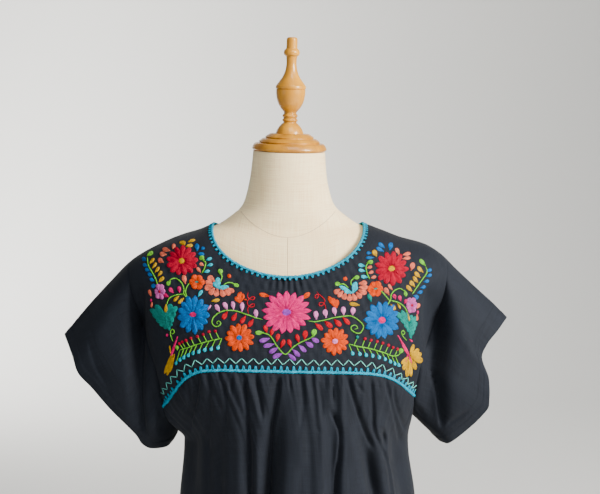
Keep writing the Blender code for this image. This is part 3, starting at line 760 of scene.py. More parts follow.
    def body_grid(self, face: Face, rows: int, fine: int) -> np.ndarray:
        """Rows from yoke to hem, columns from one side seam to the other.

        Args:
            face: Front or back.
            rows: Number of rows of faces.
            fine: Columns for each of the yoke's own steps.

        Returns:
            Places in millimetres, rows by columns.
        """
        seam = self.yoke_seam(face, fine)
        order = (Side.RIGHT, Side.LEFT) if face == Face.FRONT else (Side.LEFT, Side.RIGHT)
        lower = [self.lower_armhole(side, seam[end], fine) for side, end in zip(order, (0, -1))]
        top = np.concatenate([lower[0][:0:-1], seam, lower[1][1:]])
        fraction = lengths_along(top) / lengths_along(top)[-1]
        from_right = fraction if face == Face.FRONT else 1 - fraction
        rings = (WAIST_RING, FLARE_RING, HEM_RING)
        below = np.stack([self.ring_points(ring, from_right, face) for ring in rings])
        start_drop = SHOULDER_LEVEL - top[:, 2]
        parts = (np.arange(rows + 1) / rows) ** BODY_ROW_CROWD
        x = np.empty((rows + 1, len(top)))
        y, drop = np.empty_like(x), np.empty_like(x)
        for j in range(len(top)):
            levels = np.array([start_drop[j]] + [ring.drop for ring in rings])
            drop[:, j] = start_drop[j] + (HEM_RING.drop - start_drop[j]) * parts
            x[:, j] = eased(levels, np.append(top[j, 0], below[:, j, 0]), drop[:, j])
            y[:, j] = eased(levels, np.append(top[j, 1], below[:, j, 1]), drop[:, j])
        hang = drop - start_drop
        steps = (np.arange(len(top)) / fine) - UNDERARM_STEPS
        puff = PUFF * (1 - np.exp(-hang / PUFF_START)) * np.exp(-hang / PUFF_END)
        last = steps[-1] - UNDERARM_STEPS
        seam_part = smooth_step((steps + 0.5) / SEAM_END_STEPS)
        seam_part = seam_part * smooth_step((last + 0.5 - steps) / SEAM_END_STEPS)
        drift = DRIFT * np.sin(2 * math.pi * steps / DRIFT_STEPS[0] + DRIFT_START)
        drift = drift + np.sin(2 * math.pi * steps / DRIFT_STEPS[1])
        wave = np.cos(2 * math.pi * steps + drift) * GATHER_HEIGHT * np.exp(-hang / GATHER_LENGTH)
        wave = wave * (1 - np.exp(-hang / GATHER_START)) * seam_part
        pleats = self.pleat_wave(lengths_along(top), hang) * seam_part
        edge = smooth_step(np.minimum(fraction, 1 - fraction) / SIDE_EASE)
        out = np.stack([(x - WAIST_RING.centre) * SIDE_SPREAD, y - RIDGE_DEPTH,
                        np.zeros_like(x)], axis=-1)
        if face == Face.FRONT:
            pleats = pleats - self.creases(BODY_CREASES, x, drop) * (1 - np.exp(-hang / SEAM_DRAW))
        lift = edge * (puff - wave + pleats - self.fold_depth(x, drop, face))
        return self.point(x, y, drop) + unit(out) * lift[..., None]

    @staticmethod
    def pleat_wave(along: np.ndarray, hang: np.ndarray) -> np.ndarray:
        """Uneven small gathers under the seam, which die out down the cloth.

        Args:
            along: Distance along the seam.
            hang: Distance below it.

        Returns:
            Rise or fall at each place.
        """
        turn = 2 * math.pi * along
        grown = 1 - np.exp(-hang / SEAM_DRAW)
        total = 0.0
        for pleat in (SMALL_PLEAT, BROAD_PLEAT):
            phase = sum(size * np.sin(turn / length + start) for size, length, start in pleat.drifts)
            wave = np.cos(turn / pleat.length + phase)
            total = total + pleat.height * wave * np.exp(-hang / pleat.fade)
        return grown * total

    def armhole_ring(self, side: Side, fine: int) -> tuple[np.ndarray, np.ndarray]:
        """Ring of places round an armhole, and how deep the arm's crease is there.

        It runs down the front from the ridge, then up the back. The places are without the crease.

        Args:
            side: Wearer's side.
            fine: Columns for each of the yoke's own steps.

        Returns:
            The places and the depths.
        """
        ring, depths = [], []
        for face in Face:
            edge = self.armhole(side, np.arange(SIDE_COLUMNS * fine + 1) / fine)
            x, drop = edge[:, 0], edge[:, 1]
            plain = self.smooth_depth(x, drop, face)
            upper = self.point(x, self.panel_depth(x, drop, face), drop)
            lower = self.lower_armhole(side, upper[-1], fine)
            half = np.concatenate([self.point(x, plain, drop), lower[1:]])
            sunk = np.concatenate([face * (plain - upper[:, 1]), np.zeros(len(lower) - 1)])
            ring.append(half[:-1] if face == Face.FRONT else half[:0:-1])
            depths.append(sunk[:-1] if face == Face.FRONT else sunk[:0:-1])
        return np.concatenate(ring), np.concatenate(depths)

    def sleeve_grid(self, side: Side, rows: int, fine: int) -> np.ndarray:
        """Rows from armhole to cuff; the columns close round the arm.

        Args:
            side: Wearer's side.
            rows: Number of rows of faces.
            fine: Columns for each of the armhole's own steps.

        Returns:
            Places in millimetres, rows by columns.
        """
        start, sunk = self.armhole_ring(side, fine)
        count = len(start)
        half = count // 2
        rings = []
        for face, name in ((Face.FRONT, "front"), (Face.BACK, "back")):
            line = [self.point(side * row.run, getattr(row, name), row.drop) for row in CUFF[side]]
            points = resampled(line, np.linspace(0, 1, half + 1))
            rings.append(points[:-1] if face == Face.FRONT else points[:0:-1])
        end = np.concatenate(rings)
        part = np.linspace(0, 1, rows + 1)[:, None]
        place = start + (end - start) * part[..., None]
        chord = start[0] + (end[0] - start[0]) * part
        lift = SHOULDER_LEVEL - self.ridge_drop(chord[:, 0]) - chord[:, 2]
        steps = np.arange(count)
        from_ridge = np.minimum(steps, count - steps) / half
        face = np.where((steps > 0) & (steps < half), Face.FRONT, Face.BACK)
        swell = np.where(face == Face.FRONT, SLEEVE_PUFF[Face.FRONT], SLEEVE_PUFF[Face.BACK])
        round_arm = np.sin(math.pi * from_ridge)
        place[..., 2] += lift[:, None] * (1 - from_ridge) ** 2
        sink = sum(fold.depth * np.exp(-((steps / fine - fold.place) / fold.width) ** 2)
                   for fold in SLEEVE_FOLDS[side]) * smooth_step(part / SLEEVE_FOLD_START)
        drop = SHOULDER_LEVEL - place[..., 2]
        valley = self.crease_depth(place[..., 0], place[..., 1], drop)
        grown = smooth_step(part / SLEEVE_CREASE_START)
        valley = sunk * (1 - grown) + valley * round_arm * grown
        bulge = swell * np.sin(math.pi * part) * round_arm
        place[..., 1] += face * (bulge - sink * round_arm - valley)
        wrinkles = self.creases(CLOTH_CREASES, place[..., 0], drop)
        place[..., 1] += np.where(face == Face.FRONT, wrinkles, 0)
        return place


def grid_normals(grid: np.ndarray, closed: bool, sign: int = 1) -> np.ndarray:
    """Outward unit normals of a grid of places.

    Args:
        grid: Places, rows by columns.
        closed: Whether the columns close on themselves.
        sign: 1, or -1 to turn them over.

    Returns:
        One normal for each place.
    """
    if closed:
        along = np.roll(grid, -1, axis=1) - np.roll(grid, 1, axis=1)
    else:
        along = np.gradient(grid, axis=1)
    return unit(np.cross(np.gradient(grid, axis=0), along) * sign)


def place_object(name: str, points: np.ndarray, faces: list[tuple[int, ...]],
                 uvs: Sequence[Pair] | None, materials: Sequence[Material],
                 slots: Sequence[int] | None = None) -> Object:
    """Mesh object from places in millimetres.

    Args:
        name: Name of the piece.
        points: Places in millimetres.
        faces: Corners of each face.
        uvs: One pair for each face corner, in millimetres of cloth or thread.
        materials: Material slots of the piece.
        slots: Material slot of each face.

    Returns:
        The new object, linked to the scene.
    """
    mesh = bpy.data.meshes.new(name)
    mesh.from_pydata((np.asarray(points) * MM).tolist(), [], faces)
    if uvs is not None:
        layer = mesh.uv_layers.new(name="UVMap")
        layer.data.foreach_set("uv", (np.asarray(uvs, dtype=np.float32)).ravel())
    for material in materials:
        mesh.materials.append(material)
    if slots is not None:
        mesh.polygons.foreach_set("material_index", np.asarray(slots, dtype=np.int32))
    mesh.shade_smooth()
    mesh.set_sharp_from_angle(angle=SHARP_ANGLE)
    thing = bpy.data.objects.new(name, mesh)
    bpy.context.scene.collection.objects.link(thing)
    return thing


def settle(thing: Object, replaces: Sequence[str] = ()) -> Object:
    """Let a piece ride on the object and log it.

    Args:
        thing: The piece.
        replaces: CAD nodes it stands for.

    Returns:
        The same piece.
    """
    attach(thing, "root")
    if replaces:
        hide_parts(*replaces)
    log.info("%s: %d faces", thing.name, len(thing.data.polygons))
    return thing


def grid_faces(rows: int, cols: int, closed: bool) -> list[tuple[int, int, int, int]]:
    """Faces of a grid of rows by columns, which may close on itself across its columns.

    Args:
        rows: Number of rows.
        cols: Number of columns.
        closed: Whether the columns close on themselves.

    Returns:
        Four corners for each face.
    """
    faces = []
    for i in range(rows - 1):
        for j in range(cols if closed else cols - 1):
            a, b = i * cols + j, i * cols + (j + 1) % cols
            faces.append((a, b, b + cols, a + cols))
    return faces


def cloth_lengths(grid: np.ndarray, closed: bool) -> tuple[np.ndarray, np.ndarray]:
    """Lengths across from the middle column and down from the top; a closed grid has one more.

    Args:
        grid: Places, rows by columns.
        closed: Whether the columns close on themselves.

    Returns:
        Lengths across and lengths down.
    """
    ring = np.concatenate([grid, grid[:, :1]], axis=1) if closed else grid
    across = np.linalg.norm(np.diff(ring, axis=1), axis=2)
    across = np.concatenate([np.zeros((len(grid), 1)), np.cumsum(across, axis=1)], axis=1)
    across = across - across[:, across.shape[1] // 2][:, None]
    down = np.linalg.norm(np.diff(ring, axis=0), axis=2)
    down = np.concatenate([np.zeros((1, ring.shape[1])), np.cumsum(down, axis=0)], axis=0)
    return across, down


def cloth_shell(name: str, outer: np.ndarray, normals: np.ndarray, thickness: float,
                material: Material, closed: bool) -> Object:
    """Thin closed shell of cloth under a grid of outer places.

    Args:
        name: Name of the piece.
        outer: Outer places, rows by columns.
        normals: Outward unit normals at those places.
        thickness: Thickness of the cloth.
        material: Its material.
        closed: Whether the columns close on themselves.

    Returns:
        The new object.
    """
    rows, cols = outer.shape[:2]
    inner = outer - normals * thickness
    points = np.concatenate([outer.reshape(-1, 3), inner.reshape(-1, 3)])
    depth = rows * cols
    across, down = cloth_lengths(outer, closed)
    faces, uvs = [], []
    wraps = cols if closed else cols - 1

    def cloth_uv(i: int, j: int) -> Pair:
        """Lengths across and down at a corner."""
        return across[i, j], down[i, j]

    for i in range(rows - 1):
        for j in range(wraps):
            a, b = i * cols + j, i * cols + (j + 1) % cols
            corner = [cloth_uv(i, j), cloth_uv(i, j + 1), cloth_uv(i + 1, j + 1),
                      cloth_uv(i + 1, j)]
            faces.append((a, b, b + cols, a + cols))
            uvs += corner
            faces.append((a + depth, a + cols + depth, b + cols + depth, b + depth))
            uvs += [corner[0], corner[3], corner[2], corner[1]]
    last = (rows - 1) * cols
    for j in range(wraps):
        k = (j + 1) % cols
        faces.append((k, j, j + depth, k + depth))
        uvs += [cloth_uv(0, j + 1), cloth_uv(0, j)] * 2
        faces.append((last + j, last + k, last + k + depth, last + j + depth))
        uvs += [cloth_uv(rows - 1, j), cloth_uv(rows - 1, j + 1)] * 2
    if not closed:
        for i in range(rows - 1):
            a, b = i * cols, (i + 1) * cols
            faces.append((a, b, b + depth, a + depth))
            faces.append((b + cols - 1, a + cols - 1, a + cols - 1 + depth, b + cols - 1 + depth))
            uvs += [cloth_uv(i, 0), cloth_uv(i + 1, 0)] * 2
            uvs += [cloth_uv(i + 1, cols - 1), cloth_uv(i, cols - 1)] * 2
    thing = place_object(name, points, faces, uvs, [material])
    if np.einsum("ijk,ijk->ij", grid_normals(outer, closed), normals).mean() > 0:
        thing.data.flip_normals()
    return thing


# Twisted cord: how far its plies stand out, how its strands slant, and its tapered ends
PLY_SWELL = 0.16
PLY_SLIP = 0.8
TAPER_POWER = 8
TAPER_LEAST = 0.02


def rope(line: np.ndarray, normals: np.ndarray, half_width: float, half_height: float,
         twist: float, closed: bool, sides: int = 12,
         taper: bool = False) -> tuple[np.ndarray, list[tuple[int, ...]], list[Pair]]:
    """Two-ply twisted cord along a line on the cloth.

    Args:
        line: Centre line.
        normals: Cloth normals along it.
        half_width: Half of its width across the cloth.
        half_height: Half of its height above the cloth.
        twist: Length of one full twist, or 0 for a plain round thread.
        closed: Whether the line closes on itself.
        sides: Corners of its section.
        taper: Whether the ends narrow to points.

    Returns:
        Places, faces and one UV pair for each face corner.
    """
    if closed:
        heading = np.roll(line, -1, axis=0) - np.roll(line, 1, axis=0)
    else:
        heading = np.gradient(line, axis=0)
    heading = unit(heading)
    across = unit(np.cross(heading, normals))
    up = np.cross(across, heading)
    along = lengths_along(np.concatenate([line, line[:1]]) if closed else line)
    total = along[-1]
    turns = max(1, round(total / twist)) if twist else 0
    angles = 2 * math.pi * np.arange(sides) / sides
    phase = 2 * math.pi * turns * along[:len(line)] / total
    swell = 1 + (PLY_SWELL * np.cos(2 * angles[None, :] - phase[:, None]) if twist else 0)
    size = np.ones(len(line))
    if taper:
        size = np.sqrt(np.clip(1 - (2 * along / total - 1) ** TAPER_POWER, TAPER_LEAST, 1))
    rings = (line[:, None, :]
             + across[:, None, :] * (np.cos(angles) * half_width * swell * size[:, None])[..., None]
             + up[:, None, :] * (np.sin(angles) * half_height * swell * size[:, None])[..., None])
    faces, uvs = [], []
    count = len(line)
    girth = math.pi * (half_width + half_height)
    for i in range(count if closed else count - 1):
        for k in range(sides):
            m, after = (k + 1) % sides, (i + 1) % count
            faces.append((i * sides + k, after * sides + k, after * sides + m, i * sides + m))
            left, right = k / sides * girth, (k + 1) / sides * girth
            slip = along[i] * PLY_SLIP if twist else 0.0
            slip_next = along[i + 1] * PLY_SLIP if twist else 0.0
            uvs += [(left + slip, along[i]), (left + slip_next, along[i + 1]),
                    (right + slip_next, along[i + 1]), (right + slip, along[i])]
    if not closed:
        faces.append(tuple(range(sides)))
        faces.append(tuple(range(count * sides - 1, (count - 1) * sides - 1, -1)))
        uvs += [(0.0, 0.0)] * sides + [(0.0, float(total))] * sides
    return rings.reshape(-1, 3), faces, uvs


def add_socket(group: NodeTree, name: str, kind: str, is_input: bool,
               value: float | None = None) -> None:
    """Add one input or output to a node group's interface.

    Args:
        group: The node group.
        name: Name of the socket.
        kind: Socket type.
        is_input: Whether it is an input.
        value: Default value, if any.
    """
    socket = group.interface.new_socket(name=name, in_out="INPUT" if is_input else "OUTPUT",
                                        socket_type=kind)
    if value is not None:
        socket.default_value = value


# Scales of the shared effects
SLUB_STRETCH = (0.9, 0.022)
SLUB_RANGE = (0.36, 0.64)
MOTTLE_RANGE = (0.3, 0.7)
STRAND_RANGE = (0.28, 0.72)
FURROW_SHADE = 0.45
GRAIN_STREAK = (520, 520, 14)
GRAIN_BAND = (46, 46, 5)


class Wiring:
    """Short way to add and join the nodes of one tree."""

    def __init__(self, tree: NodeTree) -> None:
        """Keep the tree that nodes are added to."""
        self.tree = tree

    def node(self, kind: str, **settings: object) -> Node:
        """Add a node of a kind and set its properties.

        Args:
            kind: Type of the node.
            settings: Properties to set on it.

        Returns:
            The new node.
        """
        node = self.tree.nodes.new(kind)
        for name, value in settings.items():
            setattr(node, name, value)
        return node

    def join(self, source: NodeSocket | float | tuple, target: NodeSocket) -> None:
        """Link a socket to an input, or set the input to a plain value.

        Args:
            source: Socket or plain value.
            target: Input it goes to.
        """
        if isinstance(source, NodeSocket):
            self.tree.links.new(source, target)
        else:
            target.default_value = source

    def math(self, operation: str, *values: object) -> NodeSocket:
        """Result of a Math node.

        Args:
            operation: Operation of the node.
            values: Values of its inputs, in order.

        Returns:
            The result's socket.
        """
        node = self.node("ShaderNodeMath", operation=operation)
        for value, socket in zip(values, node.inputs):
            self.join(value, socket)
        return node.outputs[0]

    def scaled(self, vector: NodeSocket, factors: tuple[float, float, float]
               ) -> NodeSocket:
        """A vector times three factors.

        Args:
            vector: Vector socket.
            factors: One factor an axis.

        Returns:
            The scaled vector's socket.
        """
        node = self.node("ShaderNodeVectorMath", operation="MULTIPLY")
        self.join(vector, node.inputs[0])
        node.inputs[1].default_value = factors
        return node.outputs[0]

    def noise(self, vector: NodeSocket, scale: float | NodeSocket,
              detail: float = 3.0, roughness: float = 0.5) -> NodeSocket:
        """Noise value at a vector.

        Args:
            vector: Vector socket.
            scale: Scale of the noise.
            detail: Its detail.
            roughness: Its roughness.

        Returns:
            The noise value's socket.
        """
        node = self.node("ShaderNodeTexNoise")
        self.join(vector, node.inputs["Vector"])
        self.join(scale, node.inputs["Scale"])
        node.inputs["Detail"].default_value = detail
        node.inputs["Roughness"].default_value = roughness
        return node.outputs["Fac"]

    def stretched(self, value: NodeSocket, low: float, high: float) -> NodeSocket:
        """A value stretched until low reads 0 and high reads 1.

        Args:
            value: Socket of the value.
            low: Value that gives 0.
            high: Value that gives 1.

        Returns:
            The stretched value's socket.
        """
        node = self.node("ShaderNodeMapRange")
        self.join(value, node.inputs["Value"])
        node.inputs["From Min"].default_value = low
        node.inputs["From Max"].default_value = high
        return node.outputs[0]

    def blend(self, share: NodeSocket, low: tuple, high: tuple) -> NodeSocket:
        """Colour between two by a share.

        Args:
            share: Share of the second colour.
            low: First colour.
            high: Second colour.

        Returns:
            The colour's socket.
        """
        node = self.node("ShaderNodeMix", data_type="RGBA")
        self.join(share, node.inputs[0])
        node.inputs[6].default_value = (*low, 1)
        node.inputs[7].default_value = (*high, 1)
        return node.outputs[2]


def new_group(name: str, inputs: Sequence[tuple[str, str, float | None]],
              outputs: Sequence[tuple[str, str]]) -> tuple[Wiring, Node, Node]:
    """Start a shader node group.

    Args:
        name: Name of the group.
        inputs: Name, socket type and default of each input.
        outputs: Name and socket type of each output.

    Returns:
        The group's wiring, its input node and its output node.
    """
    group = bpy.data.node_groups.new(name, "ShaderNodeTree")
    for title, kind, value in inputs:
        add_socket(group, title, kind, True, value)
    for title, kind in outputs:
        add_socket(group, title, kind, False)
    wiring = Wiring(group)
    return wiring, wiring.node("NodeGroupInput"), wiring.node("NodeGroupOutput")


def weave_group() -> NodeTree:
    """Plain weave from places on the cloth: the height of its threads and its uneven yarn.

    Returns:
        The node group.
    """
    wiring, given, out = new_group(
        "plain weave", [("Place", "NodeSocketVector", None), ("Pitch", "NodeSocketFloat", 0.5)],
        [("Height", "NodeSocketFloat"), ("Slub", "NodeSocketFloat")])
    split = wiring.node("ShaderNodeSeparateXYZ")
    wiring.join(given.outputs["Place"], split.inputs[0])
    waves = []
    for axis in (0, 1):
        turns = wiring.math("DIVIDE", split.outputs[axis], given.outputs["Pitch"])
        waves.append(wiring.math("SINE", wiring.math("MULTIPLY", turns, math.pi)))
    cross = wiring.math("MULTIPLY", waves[0], waves[1])
    wiring.join(wiring.math("MULTIPLY_ADD", cross, 0.5, 0.5), out.inputs["Height"])
    across, along = SLUB_STRETCH
    warp = wiring.noise(wiring.scaled(given.outputs["Place"], (across, along, 1)), 1.0, 2.0)
    weft = wiring.noise(wiring.scaled(given.outputs["Place"], (along, across, 1)), 1.0, 2.0)
    yarn = wiring.math("MULTIPLY", wiring.math("ADD", warp, weft), 0.5)
    wiring.join(wiring.stretched(yarn, *SLUB_RANGE), out.inputs["Slub"])
    return wiring.tree


def mottle_group() -> NodeTree:
    """Soft uneven tone from places on the object: fading, dust and wear.

    Returns:
        The node group.
    """
    wiring, given, out = new_group(
        "soft mottle", [("Place", "NodeSocketVector", None), ("Scale", "NodeSocketFloat", 10.0)],
        [("Tone", "NodeSocketFloat")])
    tone = wiring.noise(given.outputs["Place"], given.outputs["Scale"], 4.0, 0.55)
    wiring.join(wiring.stretched(tone, *MOTTLE_RANGE), out.inputs["Tone"])
    return wiring.tree


def stitch_group() -> NodeTree:
    """Side-by-side stitches: the round of each thread, and its own tone darkened by painted shade in the
    furrows between them.

    Returns:
        The node group.
    """
    wiring, given, out = new_group(
        "laid stitches", [("Place", "NodeSocketVector", None), ("Pitch", "NodeSocketFloat", 0.6)],
        [("Height", "NodeSocketFloat"), ("Tone", "NodeSocketFloat")])
    split = wiring.node("ShaderNodeSeparateXYZ")
    wiring.join(given.outputs["Place"], split.inputs[0])
    turns = wiring.math("DIVIDE", split.outputs[0], given.outputs["Pitch"])
    crest = wiring.math("ABSOLUTE", wiring.math("SINE", wiring.math("MULTIPLY", turns, math.pi)))
    wiring.join(wiring.math("POWER", crest, 0.6), out.inputs["Height"])
    seat = wiring.node("ShaderNodeCombineXYZ")
    wiring.join(wiring.math("MULTIPLY", wiring.math("FLOOR", turns), 0.73), seat.inputs[0])
    wiring.join(wiring.math("MULTIPLY", split.outputs[1], 0.16), seat.inputs[1])
    tone = wiring.stretched(wiring.noise(seat.outputs[0], 1.0, 2.0), *STRAND_RANGE)
    # Painted shade: the tone drops by FURROW_SHADE in the furrows between threads.
    shade = wiring.math("MULTIPLY_ADD", crest, FURROW_SHADE, 1 - FURROW_SHADE)
    wiring.join(wiring.math("MULTIPLY", tone, shade), out.inputs["Tone"])
    return wiring.tree


def grain_group() -> NodeTree:
    """Wood grain along the turning's axis: fine streaks and broad growth bands.

    Returns:
        The node group.
    """
    wiring, given, out = new_group(
        "turned grain", [("Place", "NodeSocketVector", None)],
        [("Streak", "NodeSocketFloat"), ("Band", "NodeSocketFloat")])
    place = given.outputs["Place"]
    streak = wiring.noise(wiring.scaled(place, GRAIN_STREAK), 1.0, 3.0, 0.6)
    band = wiring.noise(wiring.scaled(place, GRAIN_BAND), 1.0, 2.0, 0.5)
    wiring.join(streak, out.inputs["Streak"])
    wiring.join(band, out.inputs["Band"])
    return wiring.tree


# Thread tones: the crest end a little brighter and paler than the thread's colour, the furrow end
# darkened by painted shade.
THREAD_CREST = 1.12
THREAD_PALE_LIFT = 0.004
THREAD_FURROW_SHADE = 0.42
DIALS = {"specular": "Specular IOR Level", "sheen": "Sheen Weight", "sheen_spread": "Sheen Roughness",
         "coat": "Coat Weight", "coat_spread": "Coat Roughness"}


@dataclass(frozen=True)
class Finish:
    """Look of a surface: two tones, its shine and the depth of its relief."""

    name: str
    dark: tuple[float, float, float]
    light: tuple[float, float, float]
    roughness: float
    relief: float

    def start(self, **dials: float) -> tuple[Wiring, Node, Material]:
        """Make the material and set its shader's plain values.

        Args:
            dials: Plain values to set.

        Returns:
            Its wiring, its shader and the material.
        """
        material = bpy.data.materials.new(self.name)
        material.use_nodes = True
        shader = material.node_tree.nodes["Principled BSDF"]
        shader.inputs["Roughness"].default_value = self.roughness
        for name, value in dials.items():
            shader.inputs[DIALS[name]].default_value = value
        return Wiring(material.node_tree), shader, material

    def group(self, wiring: Wiring, tree: NodeTree, place: NodeSocket,
              **values: float) -> Node:
        """Place a shared group in the material with its own values.

        Args:
            wiring: Wiring of the material.
            tree: The shared group.
            place: Vector it is read at.
            values: Plain inputs to set.

        Returns:
            The group's node.
        """
        node = wiring.node("ShaderNodeGroup", node_tree=tree)
        wiring.join(place, node.inputs["Place"])
        for name, value in values.items():
            node.inputs[name].default_value = value
        return node

    def bump(self, wiring: Wiring, shader: Node, height: NodeSocket,
             strength: float = 1.0) -> None:
        """Feed a height through a Bump node to the shader.

        Args:
            wiring: Wiring of the material.
            shader: The material's shader.
            height: Socket of the height.
            strength: Strength of the relief.
        """
        bump = wiring.node("ShaderNodeBump")
        bump.inputs["Strength"].default_value = strength
        bump.inputs["Distance"].default_value = self.relief
        wiring.join(height, bump.inputs["Height"])
        wiring.join(bump.outputs[0], shader.inputs["Normal"])


@dataclass(frozen=True)
class WovenFinish(Finish):
    """Plain-woven cloth with slubs, soft mottle and a little sheen."""

    pitch: float = 0.5
    sheen: float = 0.2
    mottle: float = 9.0
    specular: float = 0.3
    sheen_spread: float = 0.45
    slub_share: float = 0.62
    tone_share: float = 0.38
    weave_height: float = 0.35
    strength: float = 0.6

    def build(self, weave: NodeTree, mottle: NodeTree) -> Material:
        """Make the cloth's material from the shared weave and mottle.

        Args:
            weave: Shared group of the weave.
            mottle: Shared group of uneven tone.

        Returns:
            The material.
        """
        wiring, shader, material = self.start(specular=self.specular, sheen=self.sheen,
                                              sheen_spread=self.sheen_spread)
        place = wiring.node("ShaderNodeTexCoord").outputs["Object"]
        threads = wiring.node("ShaderNodeUVMap", uv_map="UVMap").outputs[0]
        cloth = self.group(wiring, weave, threads, Pitch=self.pitch)
        tone = self.group(wiring, mottle, place, Scale=self.mottle)
        share = wiring.math("MULTIPLY_ADD", cloth.outputs["Slub"], self.slub_share, 0.0)
        share = wiring.math("ADD", share,
                            wiring.math("MULTIPLY", tone.outputs["Tone"], self.tone_share))
        wiring.join(wiring.blend(share, self.dark, self.light), shader.inputs["Base Color"])
        height = wiring.math("ADD", wiring.math("MULTIPLY", cloth.outputs["Height"], self.weave_height),
                             cloth.outputs["Slub"])
        self.bump(wiring, shader, height, self.strength)
        return material


@dataclass(frozen=True)
class ThreadFinish(Finish):
    """Stranded embroidery cotton laid side by side."""

    pitch: float = 0.62
    specular: float = 0.06

    def build(self, stitches: NodeTree) -> Material:
        """Make the thread's material from the shared stitches.

        Args:
            stitches: Shared group of the stitches.

        Returns:
            The material.
        """
        wiring, shader, material = self.start(specular=self.specular)
        laid = self.group(wiring, stitches, wiring.node("ShaderNodeUVMap", uv_map="UVMap").outputs[0],
                          Pitch=self.pitch)
        # The tone mixes each strand's own variation with painted shade in the furrows between threads.
        colour = wiring.blend(laid.outputs["Tone"], self.dark, self.light)
        wiring.join(colour, shader.inputs["Base Color"])
        self.bump(wiring, shader, laid.outputs["Height"])
        return material


@dataclass(frozen=True)
class VarnishedWood(Finish):
    """Honey-coloured turned wood under clear varnish."""

    coat: float = 0.5
    coat_spread: float = 0.16
    specular: float = 0.3
    mottle: float = 22.0
    band_share: float = 1.5
    band_shift: float = -0.45
    streak_share: float = 0.3
    tone_share: float = 0.2
    strength: float = 0.4

    def build(self, grain: NodeTree, mottle: NodeTree) -> Material:
        """Make the wood's material from the shared grain and mottle.

        Args:
            grain: Shared group of the grain.
            mottle: Shared group of uneven tone.

        Returns:
            The material.
        """
        wiring, shader, material = self.start(specular=self.specular, coat=self.coat,
                                              coat_spread=self.coat_spread)
        place = wiring.node("ShaderNodeTexCoord").outputs["Object"]
        wood = self.group(wiring, grain, place)
        tone = self.group(wiring, mottle, place, Scale=self.mottle)
        share = wiring.math("MULTIPLY_ADD", wood.outputs["Band"], self.band_share, self.band_shift)
        for value, part in ((wood.outputs["Streak"], self.streak_share),
                            (tone.outputs["Tone"], self.tone_share)):
            share = wiring.math("ADD", share, wiring.math("MULTIPLY", value, part))
        wiring.join(wiring.blend(share, self.dark, self.light), shader.inputs["Base Color"])
        self.bump(wiring, shader, wood.outputs["Streak"], self.strength)
        return material


def thread_finish(thread: Thread) -> ThreadFinish:
    """Finish of one thread, from its colour under painted shade in the furrows to its full colour, a
    little brighter and paler.

    Args:
        thread: The thread.

    Returns:
        Its finish.
    """
    light = tuple(min(1.0, value * THREAD_CREST + THREAD_PALE_LIFT) for value in thread.value)
    # Painted shade: the furrow end of the thread's colour.
    dark = tuple(value * THREAD_FURROW_SHADE for value in thread.value)
    return ThreadFinish("thread " + thread.name.lower(), dark, light, roughness=0.6, relief=0.0004)


COTTON = WovenFinish("black cotton", (0.0026, 0.0037, 0.0068), (0.0094, 0.0124, 0.0192),
                     roughness=0.8, relief=0.0001, pitch=0.55, sheen=0.03, mottle=7.0, specular=0.16)
LINEN = WovenFinish("natural linen", (0.80, 0.55, 0.28), (1.0, 0.87, 0.53),
                    roughness=0.88, relief=0.00025, pitch=0.8, sheen=0.1, mottle=12.0)
# Darker linen for the welts of the form's seams: partly their own thread colour, partly painted shade
# along the seam lines.
LINEN_SEAM_SHADED = WovenFinish("shaded linen seam", (0.50, 0.36, 0.22), (0.70, 0.53, 0.34),
                         roughness=0.9, relief=0.0001, pitch=0.8, sheen=0.0, mottle=12.0, specular=0.2)
WOOD = VarnishedWood("honey varnished wood", (0.22, 0.070, 0.002), (0.66, 0.29, 0.008),
                     roughness=0.46, relief=0.0001)


@dataclass
class Materials:
    """Every material of the piece, built once from the shared node groups."""

    cotton: Material = field(init=False)
    linen: Material = field(init=False)
    # Darker seam linen, partly painted shade along the form's seams.
    seam: Material = field(init=False)
    wood: Material = field(init=False)
    threads: dict[Thread, Material] = field(init=False)

    def __post_init__(self) -> None:
        """Build the groups and the materials that use them."""
        weave, mottle = weave_group(), mottle_group()
        self.cotton, self.linen, self.seam = (cloth.build(weave, mottle)
                                              for cloth in (COTTON, LINEN, LINEN_SEAM_SHADED))
        self.wood = WOOD.build(grain_group(), mottle)
        stitches = stitch_group()
        self.threads = {thread: thread_finish(thread).build(stitches) for thread in Thread}


def flowing_line(points: Sequence[Pair], step: float) -> np.ndarray:
    """Smooth line through a few places, with points about `step` apart.

    Args:
        points: A few places.
        step: Distance between points.

    Returns:
        Places along the line.
    """
    places = np.asarray(points, dtype=float)
    ends = np.concatenate([[2 * places[0] - places[1]], places, [2 * places[-1] - places[-2]]])
    line = [places[0]]
    for before, start, end, after in zip(ends[:-3], ends[1:-2], ends[2:-1], ends[3:]):
        count = max(2, int(round(np.linalg.norm(end - start) / step)))
        for t in np.arange(1, count + 1) / count:
            line.append(0.5 * (2 * start + (end - before) * t
                               + (2 * before - 5 * start + 4 * end - after) * t ** 2
                               + (3 * start - before - 3 * end + after) * t ** 3))
    return np.array(line)


